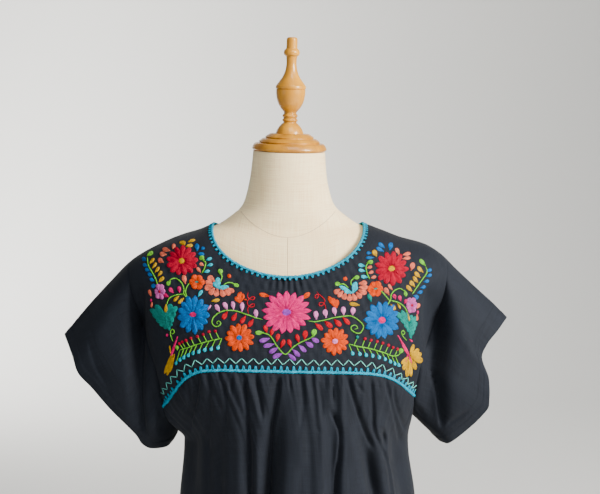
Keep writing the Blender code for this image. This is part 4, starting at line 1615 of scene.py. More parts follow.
@dataclass
class YokeGround:
    """Cloth under the embroidery: turns places on the front yoke into places in space."""

    cloth: WornCloth
    probe: float = 0.4

    def surface(self, x: np.ndarray, drop: np.ndarray) -> np.ndarray:
        """Places on the cloth's outer side."""
        depth = self.cloth.yoke_depth(x, drop, Face.FRONT)
        return self.cloth.point(x, depth, drop)

    def slopes(self, x: np.ndarray, drop: np.ndarray) -> tuple[np.ndarray, np.ndarray]:
        """How the cloth runs for each millimetre of x and of drop.

        Args:
            x: Places across.
            drop: Drops below the shoulder line.

        Returns:
            Steps in space for x and for drop.
        """
        by_x = self.surface(x + self.probe, drop) - self.surface(x - self.probe, drop)
        by_drop = self.surface(x, drop + self.probe) - self.surface(x, drop - self.probe)
        return by_x / (2 * self.probe), by_drop / (2 * self.probe)

    def place(self, x: np.ndarray, drop: np.ndarray, lift: np.ndarray | float
              ) -> tuple[np.ndarray, np.ndarray]:
        """Places raised above the cloth, and the cloth's normals under them.

        Args:
            x: Places across.
            drop: Drops below the shoulder line.
            lift: Height above the cloth.

        Returns:
            The places and the normals.
        """
        by_x, by_drop = self.slopes(x, drop)
        normals = unit(np.cross(by_drop, by_x))
        normals = normals * np.where(normals[..., 1:2] > 0, -1, 1)
        return self.surface(x, drop) + normals * np.asarray(lift)[..., None], normals

    def scale(self, centre: Pair) -> np.ndarray:
        """Millimetres of cloth for each millimetre of x and of drop at a place."""
        by_x, by_drop = self.slopes(np.array(centre[0]), np.array(centre[1]))
        return np.array([np.linalg.norm(by_x), np.linalg.norm(by_drop)])


class Bulge(NamedTuple):
    """How a petal widens from its foot to its widest place and narrows over the rest."""

    foot: float
    run: float
    widest: float
    rest: float
    power: float


BULGES = {
    Tip.POINTED: Bulge(0.3, 0.66, 0.66, 0.34, 0.62),
    Tip.ROUND: Bulge(0.35, 0.66, 0.62, 0.38, 2.0),
    Tip.DROP: Bulge(0.22, 0.56, 0.56, 0.44, 2.4),
}


def outline(tip: Tip, s: np.ndarray) -> np.ndarray:
    """Half width of a petal, as a share of its widest, along its length from 0 to 1.

    Args:
        tip: Kind of outline.
        s: Shares of the length.

    Returns:
        Half widths.
    """
    s = np.clip(s, 0, 1)
    if tip == Tip.BUD:
        return np.sqrt(np.clip(1 - (2 * s - 1) ** 2, 0, 1))
    foot, run, widest, rest, power = BULGES[tip]
    near = foot + (1 - foot) * smooth_step(s / run)
    past = (s - widest) / rest
    if tip == Tip.POINTED:
        far = np.clip(np.cos(math.pi / 2 * past), 0, 1) ** power
    else:
        far = np.sqrt(np.clip(1 - np.maximum(past, 0) ** power, 0, 1))
    return np.where(s < widest, near, far)


# Satin stitches: a strand's width, how it stands up and how the rim sinks into the cloth
STRAND_WIDTH = 1.25
STRAND_LIMITS = (2, 10)
STRAND_RIDGE = 0.2
STRAND_FADE = 1.2
PETAL_ROWS = 11
PETAL_CLEAR = 0.05
JAG_START = 0.4
LEAST_WIDTH = 0.04
CROWN_POWER = 0.62
END_SLOPES = (0.14, 0.12)
RIM_SINK = -0.25


@dataclass
class Stitchwork:
    """Raised stitches gathered into one piece of embroidery."""

    name: str
    ground: YokeGround
    materials: Materials
    seed: int = 1
    points: list[np.ndarray] = field(default_factory=list)
    faces: list[tuple[int, ...]] = field(default_factory=list)
    uvs: list[Pair] = field(default_factory=list)
    slots: list[int] = field(default_factory=list)
    used: list[Thread] = field(default_factory=list)
    count: int = 0

    def __post_init__(self) -> None:
        """Start the seeded unevenness of the hand."""
        self.hand = np.random.default_rng(self.seed)

    def add(self, points: np.ndarray, faces: Sequence[tuple[int, ...]], uvs: Sequence[Pair],
            thread: Thread) -> None:
        """Take in one stitched patch.

        Args:
            points: Places of the patch.
            faces: Corners of each face.
            uvs: One pair for each face corner.
            thread: Its thread.
        """
        if thread not in self.used:
            self.used.append(thread)
        self.points.append(points)
        self.faces += [tuple(corner + self.count for corner in face) for face in faces]
        self.uvs += list(uvs)
        self.slots += [self.used.index(thread)] * len(faces)
        self.count += len(points)

    def petal(self, centre: Pair, start: Pair, heading: float, length: float, width: float,
              thread: Thread, tip: Tip, height: float = 0.9, lift: float = 0.0,
              jag: float = 0.5) -> None:
        """Satin-stitched petal laid in the plane of the cloth at a place.

        Args:
            centre: Place whose cloth scale the petal is laid by.
            start: Base of the petal, in millimetres of cloth from the centre, right and up.
            heading: Direction in degrees, from 0 to the right to 90 up.
            length: Length in millimetres of cloth.
            width: Greatest width.
            thread: Its thread.
            tip: Outline.
            height: Height of its crown above the cloth.
            lift: Extra height, where it lies over others.
            jag: Unevenness of its far end.
        """
        strands = int(np.clip(round(width / STRAND_WIDTH), *STRAND_LIMITS))
        across = 3 * strands + 1
        t = np.linspace(-1, 1, across)[None, :]
        s = ((1 - np.cos(np.linspace(0, math.pi, PETAL_ROWS))) / 2)[:, None]
        reach = np.repeat(self.hand.uniform(0, jag, strands), 3)
        reach = np.concatenate([reach, reach[-1:]])[None, :] / length
        stretch = 1 - reach * smooth_step((s - JAG_START) / (1 - JAG_START))
        half = width / 2 * np.maximum(outline(tip, s), LEAST_WIDTH)
        ahead = s * length * stretch
        aside = t * half
        crown = np.clip(1 - t ** 2, 0, 1) ** CROWN_POWER
        ends = np.sqrt(np.clip(np.minimum(s / END_SLOPES[0], (1 - s) / END_SLOPES[1]), 0, 1))
        ridge = STRAND_RIDGE * np.cos(math.pi * (t + 1) * strands) * np.minimum(1, half / STRAND_FADE)
        raised = height * crown * ends - ridge * ends + lift + PETAL_CLEAR
        rim = (np.abs(t) > 0.999) | (s < 0.001) | (s > 0.999)
        raised = np.where(rim, RIM_SINK, raised)
        angle = math.radians(heading)
        right = start[0] + ahead * math.cos(angle) - aside * math.sin(angle)
        up = start[1] + ahead * math.sin(angle) + aside * math.cos(angle)
        scale = self.ground.scale(centre)
        places = self.ground.place(centre[0] + right / scale[0], centre[1] - up / scale[1], raised)[0]
        rows, cols = places.shape[:2]
        faces = grid_faces(rows, cols, False)
        u, v = np.broadcast_arrays(t * width / 2, s * length)
        offset = self.hand.uniform(0, 40)
        flat_u, flat_v = (u + offset).ravel(), v.ravel()
        uvs = [(flat_u[corner], flat_v[corner]) for face in faces for corner in face]
        rim_loop = (list(range(cols)) + [i * cols + cols - 1 for i in range(1, rows)]
                    + [(rows - 1) * cols + j for j in range(cols - 2, -1, -1)]
                    + [i * cols for i in range(rows - 2, 0, -1)])
        faces.append(tuple(rim_loop))
        uvs += [(flat_u[corner], flat_v[corner]) for corner in rim_loop]
        points = places.reshape(-1, 3)
        mid = (rows // 2) * cols + cols // 2
        normal = np.cross(points[mid + 1] - points[mid], points[mid + cols] - points[mid])
        if normal[1] > 0:
            faces, uvs = self.turned_over(faces, uvs)
        self.add(points, faces, uvs, thread)

    @staticmethod
    def turned_over(faces: Sequence[tuple[int, ...]], uvs: Sequence[Pair]
                    ) -> tuple[list[tuple[int, ...]], list[Pair]]:
        """The same faces seen from the other side.

        Args:
            faces: Corners of each face.
            uvs: One pair for each face corner.

        Returns:
            The turned faces and pairs.
        """
        turned, moved, start = [], [], 0
        for face in faces:
            turned.append(face[::-1])
            moved += list(uvs[start:start + len(face)])[::-1]
            start += len(face)
        return turned, moved

    def leaf(self, base: Pair, end: Pair, width: float, thread: Thread, tip: Tip = Tip.DROP,
             height: float = 1.05, jag: float = 0.4, lift: float = 0.0) -> None:
        """Petal between two places on the yoke.

        Args:
            base: Place of its base.
            end: Place of its far end.
            width: Its width.
            thread: Its thread.
            tip: Its outline.
            height: Height of its crown.
            jag: Unevenness of its far end.
            lift: Extra height over others.
        """
        middle = ((base[0] + end[0]) / 2, (base[1] + end[1]) / 2)
        scale = self.ground.scale(middle)
        right, up = (end[0] - base[0]) * scale[0], (base[1] - end[1]) * scale[1]
        start = ((base[0] - middle[0]) * scale[0], (middle[1] - base[1]) * scale[1])
        self.petal(middle, start, math.degrees(math.atan2(up, right)), math.hypot(right, up),
                   width, thread, tip, height, lift, jag)

    def thread_line(self, points: Sequence[Pair], width: float, thread: Thread,
                    twist: float = 2.6, step: float = 1.1, lift: float = 0.25) -> None:
        """Line of stem stitch through places on the yoke.

        Args:
            points: Places it runs through.
            width: Its width.
            thread: Its thread.
            twist: Length of one twist.
            step: Distance between points.
            lift: Height above the cloth.
        """
        line = flowing_line(points, step)
        places, normals = self.ground.place(line[:, 0], line[:, 1], np.full(len(line), lift))
        parts = rope(places, normals, width / 2, width * 0.42, twist, False, 8, True)
        self.add(*parts, thread)

    def straight(self, start: Pair, end: Pair, width: float, thread: Thread) -> None:
        """One straight stitch between two places on the yoke.

        Args:
            start: Where it begins.
            end: Where it ends.
            width: Its width.
            thread: Its thread.
        """
        share = np.linspace(0, 1, 6)[:, None]
        line = np.asarray(start) + (np.asarray(end) - np.asarray(start)) * share
        places, normals = self.ground.place(line[:, 0], line[:, 1], np.full(6, width * 0.3))
        parts = rope(places, normals, width / 2, width * 0.45, 0, False, 6, True)
        self.add(*parts, thread)

    def piece(self) -> Object:
        """Finish the stitches as one object that rides on the blouse.

        Returns:
            The finished piece.
        """
        thing = place_object(self.name, np.concatenate(self.points), self.faces, self.uvs,
                             [self.materials.threads[thread] for thread in self.used], self.slots)
        return settle(thing)


class Bloom(NamedTuple):
    """Flower seen from the front: petals round an eye."""

    centre: Pair
    across: float
    down: float
    petals: int
    tip: Tip
    thread: Thread
    eye: Pair
    eye_thread: Thread
    turn: float = 90.0


class Leaves(NamedTuple):
    """Little satin leaves of one thread, by their middles; they point along the heading."""

    thread: Thread
    heading: float
    length: float
    width: float
    middles: tuple[Pair, ...]
    tip: Tip = Tip.DROP


class Satin(NamedTuple):
    """One satin patch from its base to its far end."""

    base: Pair
    end: Pair
    width: float


STEM_WIDTH = 1.7


class Stem(NamedTuple):
    """Line of stem stitch."""

    points: tuple[Pair, ...]
    thread: Thread = Thread.GREEN
    width: float = STEM_WIDTH


def stems(*lines: tuple[Pair, ...], thread: Thread = Thread.GREEN, width: float = STEM_WIDTH
          ) -> list[Stem]:
    """Stems of one thread and width along several lines."""
    return [Stem(line, thread, width) for line in lines]


def leaves(thread: Thread, *rows: tuple, tip: Tip = Tip.DROP) -> list[Leaves]:
    """Leaves of one thread, each row with its heading, length and width, then the middles."""
    return [Leaves(thread, *row[:3], row[3:], tip) for row in rows]


class Fern(NamedTuple):
    """Stem with twigs that carry buds above it and drops below it."""

    stem: tuple[Pair, ...]
    above: tuple[Pair, ...]
    below: tuple[Pair, ...]
    lean: float


BLOOMS = {
    "red_blooms": [
        Bloom((-156.9, 52.8), 25.5, 22, 13, Tip.ROUND, Thread.CRIMSON, (4.8, 4.2), Thread.YELLOW),
        Bloom((153.1, 63.5), 26, 24.5, 13, Tip.ROUND, Thread.CRIMSON, (5.6, 4.6), Thread.YELLOW, 80),
    ],
    "blue_blooms": [
        Bloom((-138.1, 128.5), 26, 28, 13, Tip.POINTED, Thread.BLUE, (5.6, 3.6), Thread.MAGENTA, 84),
        Bloom((137.3, 136.4), 28, 28, 14, Tip.POINTED, Thread.BLUE, (6, 4.8), Thread.MAGENTA, 100),
    ],
    "pink_bloom": [
        Bloom((-1.5, 123.4), 37.5, 31, 17, Tip.POINTED, Thread.PINK, (7, 5), Thread.PURPLE, 90),
    ],
    "orange_blooms": [
        Bloom((-69.5, 158.8), 22, 20, 12, Tip.ROUND, Thread.ORANGE, (4.6, 4.2), Thread.BLUE, 96),
        Bloom((68.3, 163.8), 20.5, 20, 12, Tip.ROUND, Thread.ORANGE, (4.4, 4.6), Thread.ROSE, 84),
    ],
    "small_blooms": [
        Bloom((-133.5, 82.3), 12.2, 11.6, 6, Tip.ROUND, Thread.ORANGE, (3.6, 1.6), Thread.TEAL, 60),
        Bloom((128.5, 91.8), 12, 11.6, 6, Tip.ROUND, Thread.ORANGE, (3.8, 1.6), Thread.TEAL, 120),
        Bloom((-189.7, 97.9), 8.5, 12.5, 6, Tip.ROUND, Thread.MAUVE, (1.6, 3), Thread.CRIMSON, 60),
        Bloom((182.8, 117.5), 9, 13, 6, Tip.ROUND, Thread.MAUVE, (1.8, 2.4), Thread.CRIMSON, 60),
    ],
}
STEMS = {
    "vines": [
        *stems(
            ((-36.1, 133), (-45.8, 131.1), (-57, 127.2), (-69.6, 123.4), (-79.4, 121.3), (-92, 121.8),
             (-101.8, 126), (-108.7, 132.8), (-109.7, 139.5), (-105.7, 143.7), (-100, 143.2),
             (-97, 139.2), (-100.1, 136.2), (-103.2, 139), (-100.6, 140.6)),
            ((29, 134.9), (38.7, 136.3), (51.2, 134.7), (66.5, 131.3), (81.8, 129.3), (93.2, 129.6),
             (104.4, 136.5), (109.9, 144.2), (105.9, 152.5), (99.5, 153), (92.4, 148.3), (92.5, 143.7),
             (98, 142.1), (101.4, 146.2), (96.4, 147.6)),
            ((-40, 151.5), (-29, 153.4), (-22, 159.3), (-15.1, 169.9), (-3.4, 181.1), (8.3, 171.2),
             (19.3, 164.6), (33.1, 158.7), (37, 154.2))),
    ],
    "sprays": [
        *stems(
            ((-212.8, 50.5), (-208.6, 61.8), (-202.6, 69.7), (-196.2, 79.6), (-192.7, 89.7)),
            ((205.2, 61.8), (206.9, 70.6), (199.1, 81.3), (189.7, 93.5), (183.8, 101.1)),
            ((-125.5, 51), (-121, 54.1), (-122.5, 61.9), (-126.4, 69.7)),
            ((118, 54.6), (115.1, 60.3), (116.6, 69.6), (120.5, 78.2)),
            ((-144, 83.3), (-148.7, 90.4), (-150.2, 98.2), (-145.1, 108)),
            ((-176, 83.5), (-172, 78.9), (-163.7, 78.4), (-156.2, 84.4), (-152.7, 93.6), (-152.6, 99.8),
             (-145.1, 108)),
            ((-153.4, 99.8), (-164.9, 101.8), (-174.8, 106.9), (-178.8, 116.5)),
            ((144.9, 116.5), (150.7, 108.2), (151.7, 101.3), (156.7, 95.3), (164.9, 92.4), (171.4, 95.8)),
            ((150.7, 109), (162.9, 112.6), (172.7, 120.8), (176.7, 130.5)),
            ((134.8, 92.8), (140.3, 98.6), (145.1, 104.2), (149.9, 109.7)),
            ((-98.8, 82.2), (-96.6, 75), (-98, 69)), ((-94.4, 86), (-89, 82.8), (-83.8, 82.2), (-78, 84)),
            ((93.2, 86.7), (92.6, 80.8), (97, 76.2)), ((88.9, 90.2), (82.9, 84.8), (76.9, 84))),
        *stems(
            ((-168.2, 169.1), (-171.6, 161.5), (-172.1, 154.5), (-169.1, 151.1), (-166.1, 154.8),
             (-169.1, 157.9), (-170.6, 155.8)),
            ((174.9, 168.2), (169, 161.3), (166.6, 155.6), (169.1, 152.9), (171.9, 156.8), (169.2, 158.9),
             (168.4, 156.6)), width=1.4),
    ],
    "curlicues": [
        *stems(
            ((-57.4, 95.3), (-58.6, 101), (-56, 104.8), (-50.5, 106.2), (-47.9, 103.2), (-51, 101.7),
             (-55.5, 104.5), (-58.6, 108.5), (-57.8, 113), (-54, 116.2), (-49.5, 115.6), (-48.2, 112.6),
             (-51.5, 111.9), (-56.2, 115.5), (-58, 119.5), (-56.6, 126)),
            ((42.3, 94.6), (45, 98.5), (43, 103.8), (39.8, 102.8), (41, 99.3), (46.2, 99), (51.5, 103.5),
             (54, 108), (50.5, 113.9), (46.2, 114), (46, 110.6), (50.2, 109.8), (54.2, 113), (56, 121.5)),
            thread=Thread.SCARLET, width=1.25),
    ],
}
LEAVES = {
    "sprays": [
        *leaves(
            Thread.YELLOW, (52, 10.5, 4.6, (-204.1, 54.8), (-199.3, 60.8), (-194.5, 66.6), (-190, 71.9)),
            (45, 11, 6.2, (-187.5, 80))),
        *leaves(
            Thread.BLUE,
            (160, 8.4, 5.4, (-217.8, 53.8), (-214.5, 61.5), (-210.1, 67.6), (-205.5, 74), (-201.9, 81.4)),
            (200, 8.4, 6.4, (-199, 90))),
        *leaves(
            Thread.YELLOW,
            (132, 12.5, 6, (196.9, 66.2), (192.3, 73.6), (189.2, 80.6), (184.4, 86.6), (179.4, 92.9))),
        *leaves(
            Thread.BLUE,
            (10, 9, 5.4, (210.8, 68), (210.4, 75.5), (206.1, 83.7), (200.9, 92.2), (195.8, 99.4)),
            (-25, 9, 6.4, (189.8, 105.6))),
        *leaves(
            Thread.GREEN, (35, 11, 5.8, (-209.6, 46)), (130, 13, 6, (201, 56.6)),
            (140, 8.5, 8, (-126.6, 47.8)), (15, 10, 6, (120.8, 53.6))),
        *leaves(
            Thread.TURQUOISE, (20, 9.4, 4.8, (-116.2, 49), (-114.7, 57.5), (-119, 66.8)),
            (170, 11, 5.2, (108.7, 58.2), (108.9, 65.4), (112.6, 74.4))),
        *leaves(
            Thread.SALMON, (150, 7.8, 5.4, (-126.8, 56.9)), (128, 9.5, 5.6, (-131.3, 64.9)),
            (15, 8.6, 5, (120.2, 60.9), (122, 68.2), (126, 75.3))),
        *leaves(
            Thread.GREEN, (230, 8.5, 6.6, (-176.2, 84.6)), (-70, 10, 5.6, (173.4, 99.3)),
            (96, 9, 7.8, (-98.9, 67.2)), (-25, 10, 5.6, (-76, 85.4)), (10, 10, 5.6, (100.2, 75.3)),
            (170, 10, 5.6, (73.9, 84))),
        *leaves(
            Thread.MAGENTA, (165, 8.2, 5.6, (-179.9, 103.2)), (130, 10, 6.6, (-172, 95.6)),
            (96, 9.5, 6.4, (-160, 93.5)), (105, 8.5, 5.8, (157, 104), (165, 106.3)),
            (55, 8, 5, (173.4, 111.4))),
        *leaves(
            Thread.YELLOW, (228, 12, 5, (-164.2, 106.8), (-156.7, 109.6)),
            (272, 13, 6.4, (-179.4, 121.8)), (-48, 11, 6.4, (154.2, 118.4)),
            (-55, 10, 3.6, (163.3, 117.4)), (-75, 13, 3.8, (177.6, 134.6))),
    ],
    "loose_leaves": [
        *leaves(
            Thread.SALMON, (80, 7.5, 6, (-172.3, 33.6)), (172, 13.5, 5.8, (-183.4, 38.6)),
            (176, 11.5, 6, (-187.2, 44.6)), (160, 10.5, 7.4, (-189.8, 53.6)),
            (104, 13.5, 7, (-152.4, 79.1))),
        *leaves(
            Thread.YELLOW, (145, 8.5, 6, (-158.2, 28.4)), (22, 11.5, 3.6, (-145, 25)),
            (14, 11.5, 4.4, (-147.6, 31.6))),
        *leaves(
            Thread.BLUE, (96, 10.5, 7, (-135.2, 33.2)), (30, 6, 4.6, (-126.2, 34.4)),
            (0, 10, 5.6, (-128.2, 42.2)), (175, 7.5, 4.6, (119.6, 40.4)), (184, 13, 4.6, (121, 47.2))),
        *leaves(Thread.YELLOW, (118, 10.5, 7.4, (128.6, 41))),
        *leaves(
            Thread.BLUE, (150, 12.5, 5.2, (136.6, 36)), (140, 11.5, 5.2, (139.4, 30.6)),
            (75, 10.5, 7.4, (153.2, 32.6))),
        *leaves(
            Thread.SALMON, (112, 10.5, 6, (163.6, 39.6)), (5, 13, 4.6, (177.4, 43.8), (176.4, 49.6)),
            (70, 12, 7.8, (184.6, 61.4)), (118, 13, 6.4, (145.6, 95.8)), (125, 11, 4.6, (150.8, 90)),
            (115, 10.5, 5, (-205.2, 101)), (262, 8.5, 3.6, (-202.4, 118.4))),
        *leaves(Thread.MAGENTA, (90, 4.8, 3.4, (-203.2, 111.6), (-177.6, 160.5)), tip=Tip.BUD),
        *leaves(Thread.SALMON, (55, 8.5, 6, (192.9, 119.4)), (270, 10.5, 3.8, (191.2, 136))),
        *leaves(Thread.MAGENTA, (90, 6.6, 3.6, (192.2, 129))),
        *leaves(Thread.TURQUOISE, (62, 11.5, 5.8, (-128.2, 98.3))),
        *leaves(Thread.TEAL, (108, 12.5, 6.8, (120.1, 104.3))),
        *leaves(Thread.YELLOW, (12, 13.5, 5, (-105.6, 107.8)), (172, 15.5, 6, (97.4, 113))),
        *leaves(Thread.ROSE, (58, 9, 2.6, (-114.1, 117.8))),
        *leaves(Thread.ORANGE, (166, 16.5, 6.2, (-33.6, 99.6)), (34, 15.5, 6.4, (26.2, 100.8))),
        *leaves(Thread.ORANGE, (90, 6, 6, (-85.8, 72.8), (84.2, 76.9)), tip=Tip.BUD),
        *leaves(Thread.ORANGE, (0, 5, 2.2, (-61.8, 106))),
        *leaves(Thread.MAGENTA, (-40, 7, 3, (181.4, 168.6))),
    ],
    "vines": [
        *leaves(
            Thread.ROSE, (98, 12.5, 6.6, (-45.9, 125.3), (-79.5, 114.6)), (90, 13.5, 6.4, (-66.2, 116.4)),
            (118, 12.5, 6.8, (-90.6, 115.2), (-102.2, 118.6))),
        *leaves(Thread.SCARLET, (238, 13, 6.8, (-53.2, 138), (-64.4, 133.6), (-77.2, 130), (-91, 128.2))),
        *leaves(
            Thread.ROSE, (97, 12.5, 7, (41.2, 127.4), (54.8, 125.2), (68, 122.4), (81, 121.8)),
            (82, 11.5, 7.4, (94.9, 122.6))),
        *leaves(Thread.SCARLET, (-42, 14.5, 7, (45.3, 143.2), (59, 140.2), (72.2, 137.9), (84.8, 135.6))),
    ],
    "garland": [
        *leaves(
            Thread.SCARLET, (104, 11.5, 6, (-31.4, 146.2)), (76, 11.5, 6.2, (-22.8, 151), (-14.2, 158)),
            (62, 13.5, 6.4, (-7.3, 166.8)), (108, 12.5, 6.2, (3, 165.9), (14.6, 159.3)),
            (86, 13.5, 8.4, (25.4, 154.6))),
        *leaves(
            Thread.PURPLE, (196, 16.5, 6.4, (-33.2, 161.4), (-27, 168.8)),
            (206, 15.5, 6.8, (-20, 175.6), (-14.2, 182.9)),
            (-38, 15.5, 6.4, (6, 184.9), (12, 179), (21, 172.8)),
            (-28, 13.5, 6.8, (31.3, 167.6), (39.3, 161.6))),
        *leaves(Thread.GREEN, (182, 13, 6.4, (-40.5, 151.6)), (75, 12, 7.4, (38, 152))),
    ],
}
PATCHES = {
    (
        "fans", Thread.SALMON): rows_of(Satin, ((-106.9, 81.7), (-117.5, 73.4), 9.5),
        ((-109.8, 84.7), (-121.5, 81.4), 9), ((-109.8, 87.7), (-122.5, 91.5), 9),
        ((-106.9, 90), (-115, 99.5), 9), ((-102.9, 90.7), (-105, 102.5), 9),
        ((-98, 91.5), (-92.4, 102.5), 9), ((-93.2, 90.7), (-83.9, 100.1), 8.5),
        ((-89.1, 90), (-78.1, 96), 8), ((104, 84), (116.5, 82.5), 7.5), ((104, 89), (118, 89.5), 8),
        ((103, 93), (116, 98), 8.5), ((100, 96), (108, 104.5), 8.5), ((95, 97.5), (99, 108), 8.5),
        ((90, 97.5), (90.5, 109), 8.5), ((85, 96.5), (81, 106.5), 8.5), ((81, 94), (73, 102.5), 8),
        ((77, 91.5), (67, 97), 7.5)),
    (
        "fans", Thread.TURQUOISE): rows_of(Satin, ((-101.5, 91.5), (-102.5, 74.5), 8.5),
        ((-103, 90.5), (-109.5, 81.5), 6.5), ((-103.5, 89), (-85.5, 88.4), 6.5),
        ((-101, 91), (-90, 90.8), 5), ((95, 98), (99.8, 80.8), 8.5), ((97, 95.5), (101.5, 87), 6),
        ((95, 97.5), (75, 86.5), 6.8), ((93, 97.8), (82, 94), 6)),
    (
        "heart_leaves", Thread.TEAL): rows_of(Satin, ((-174.8, 150), (-183.5, 149.5), 5),
        ((-176.2, 146.5), (-190.5, 145), 7.5), ((-177.8, 142), (-196, 139.5), 8.5),
        ((-179.2, 138), (-202, 133), 9), ((-180.2, 134), (-206.5, 125.8), 10),
        ((-181, 131), (-197.5, 118.2), 10), ((-175.6, 146.5), (-169.4, 142.5), 7),
        ((-177, 142.5), (-167, 135), 8), ((-178.6, 138.5), (-164.4, 127), 9),
        ((-180, 134.5), (-161.8, 118.2), 9.5), ((-181, 131.5), (-170.4, 114.8), 9.5),
        ((-181.5, 126), (-173.6, 154), 8), ((181.2, 162.5), (186.4, 155), 6),
        ((180.5, 157.5), (189, 149), 7.5), ((179.6, 152.5), (192, 143.5), 8.5),
        ((179.1, 147.5), (190.6, 134.6), 8.5), ((178.6, 143.5), (183.8, 131.2), 7.5),
        ((181, 158), (175.4, 149.4), 6.5), ((180, 153.5), (171, 142.2), 7.5),
        ((179.2, 148.5), (165, 134), 8), ((178.6, 144.5), (159, 126.2), 8.5),
        ((178.5, 144), (166.6, 123.4), 8), ((178.6, 142), (174.2, 126.6), 7.5),
        ((178.2, 140), (181.9, 167), 7)),
    (
        "tulips", Thread.YELLOW): rows_of(Satin, ((-165.5, 186.5), (-174.5, 216), 5.5),
        ((-168.5, 187.5), (-178.5, 221.5), 6), ((-171, 188), (-183, 220), 5.5),
        ((-171.8, 187), (-173.6, 174.5), 3.6), ((177.5, 192), (166.4, 201.5), 7),
        ((177, 194), (169.5, 211.5), 8), ((178.5, 196), (176, 223.5), 9),
        ((180, 196), (182.8, 224.5), 8.5), ((181.5, 196), (191.2, 214.5), 10),
        ((181.5, 193), (203, 205), 11), ((180, 191), (200.5, 193.5), 9.5),
        ((180.5, 191), (195.5, 184.5), 9), ((179.5, 191.5), (186.5, 174.8), 8.5)),
    (
        "orange_buds", Thread.ORANGE): rows_of(Satin, ((-69.2, 110.5), (-77, 101.8), 7),
        ((-68.4, 110), (-64.2, 97.2), 6.5), ((-68.7, 110.5), (-69.8, 94.6), 8.5),
        ((70.9, 118), (72.2, 105.6), 7), ((70.4, 117.8), (65.6, 103.2), 7),
        ((70.6, 118), (58.8, 101), 7.5)),
    (
        "tulips", Thread.MAGENTA): rows_of(Satin, ((-161, 160.5), (-171.8, 191.5), 4.6),
        ((161.2, 159), (179.4, 192), 5.4), ((176.6, 186), (173, 204.5), 3.4),
        ((177.6, 187), (182.4, 204), 4.4)),
}
FERNS = [
    Fern(((-94.2, 160.4), (-106.9, 163.1), (-126.1, 168.5), (-145.6, 175.8), (-158.4, 180.4)),
        ((-104.7, 150.9), (-113.9, 152), (-122.7, 156.1), (-131.1, 159.6), (-140.8, 162.4), (-148.2, 166),
        (-153.9, 168.7), (-158.1, 171.3)), ((-100.4, 173.2), (-110.4, 175.4), (-119.9, 177.1),
        (-128.7, 179.9), (-137.3, 182.7), (-144.4, 186.2), (-151.3, 189.9), (-157.2, 193.8),
        (-163.1, 199.6)), 5.5),
    Fern(((88.3, 167.8), (99.3, 171.2), (120, 175.9), (139.3, 182.4), (152.3, 188.1), (161.5, 188.2),
        (164.8, 185)), ((101, 159.1), (112.1, 161.8), (120.9, 164.2), (130, 166.4), (138.2, 169.2),
        (147, 172.8), (153.5, 176.4), (160.6, 179.4)), ((93.7, 180.9), (104.3, 182), (113.5, 184),
        (123.1, 185.6), (132.8, 188.2), (141.7, 191.6), (149.5, 195.8), (156.5, 199.6),
        (162.4, 202.4)), -5),
]
FERN_BUDS = leaves(Thread.GREEN, (100, 7.5, 6.2, (-162, 177.4)), (60, 9, 7, (165.6, 182.6)))
PETAL_REACH = (0.93, 1.04)
PETAL_FOOT = 0.1
PETAL_FILL = 0.76
PETAL_HEIGHT = 1.45
PETAL_LIFT = 0.14
PETAL_JAG = {Tip.ROUND: 0.4, Tip.POINTED: 1.2}
ZIGZAG_SAMPLES = 241
ZIGZAG_RISE = 14.0
ZIGZAG_DRAW = 4.0
ZIGZAG_DRAW_START = 100.0
ZIGZAG_DRAW_RUN = 60.0
ZIGZAG_ENDS = (4.0, 2.0)
ZIGZAG_HALF = 4.2
ZIGZAG_STEP = 8.7
ZIGZAG_SLIP = 0.7
ZIGZAG_JOG = 0.4
ZIGZAG_WIDTH = 1.2
TWIG_WIDTH = 1.35
BUD_SIZE = {True: (2.7, 4.8), False: (3.7, 5.4)}


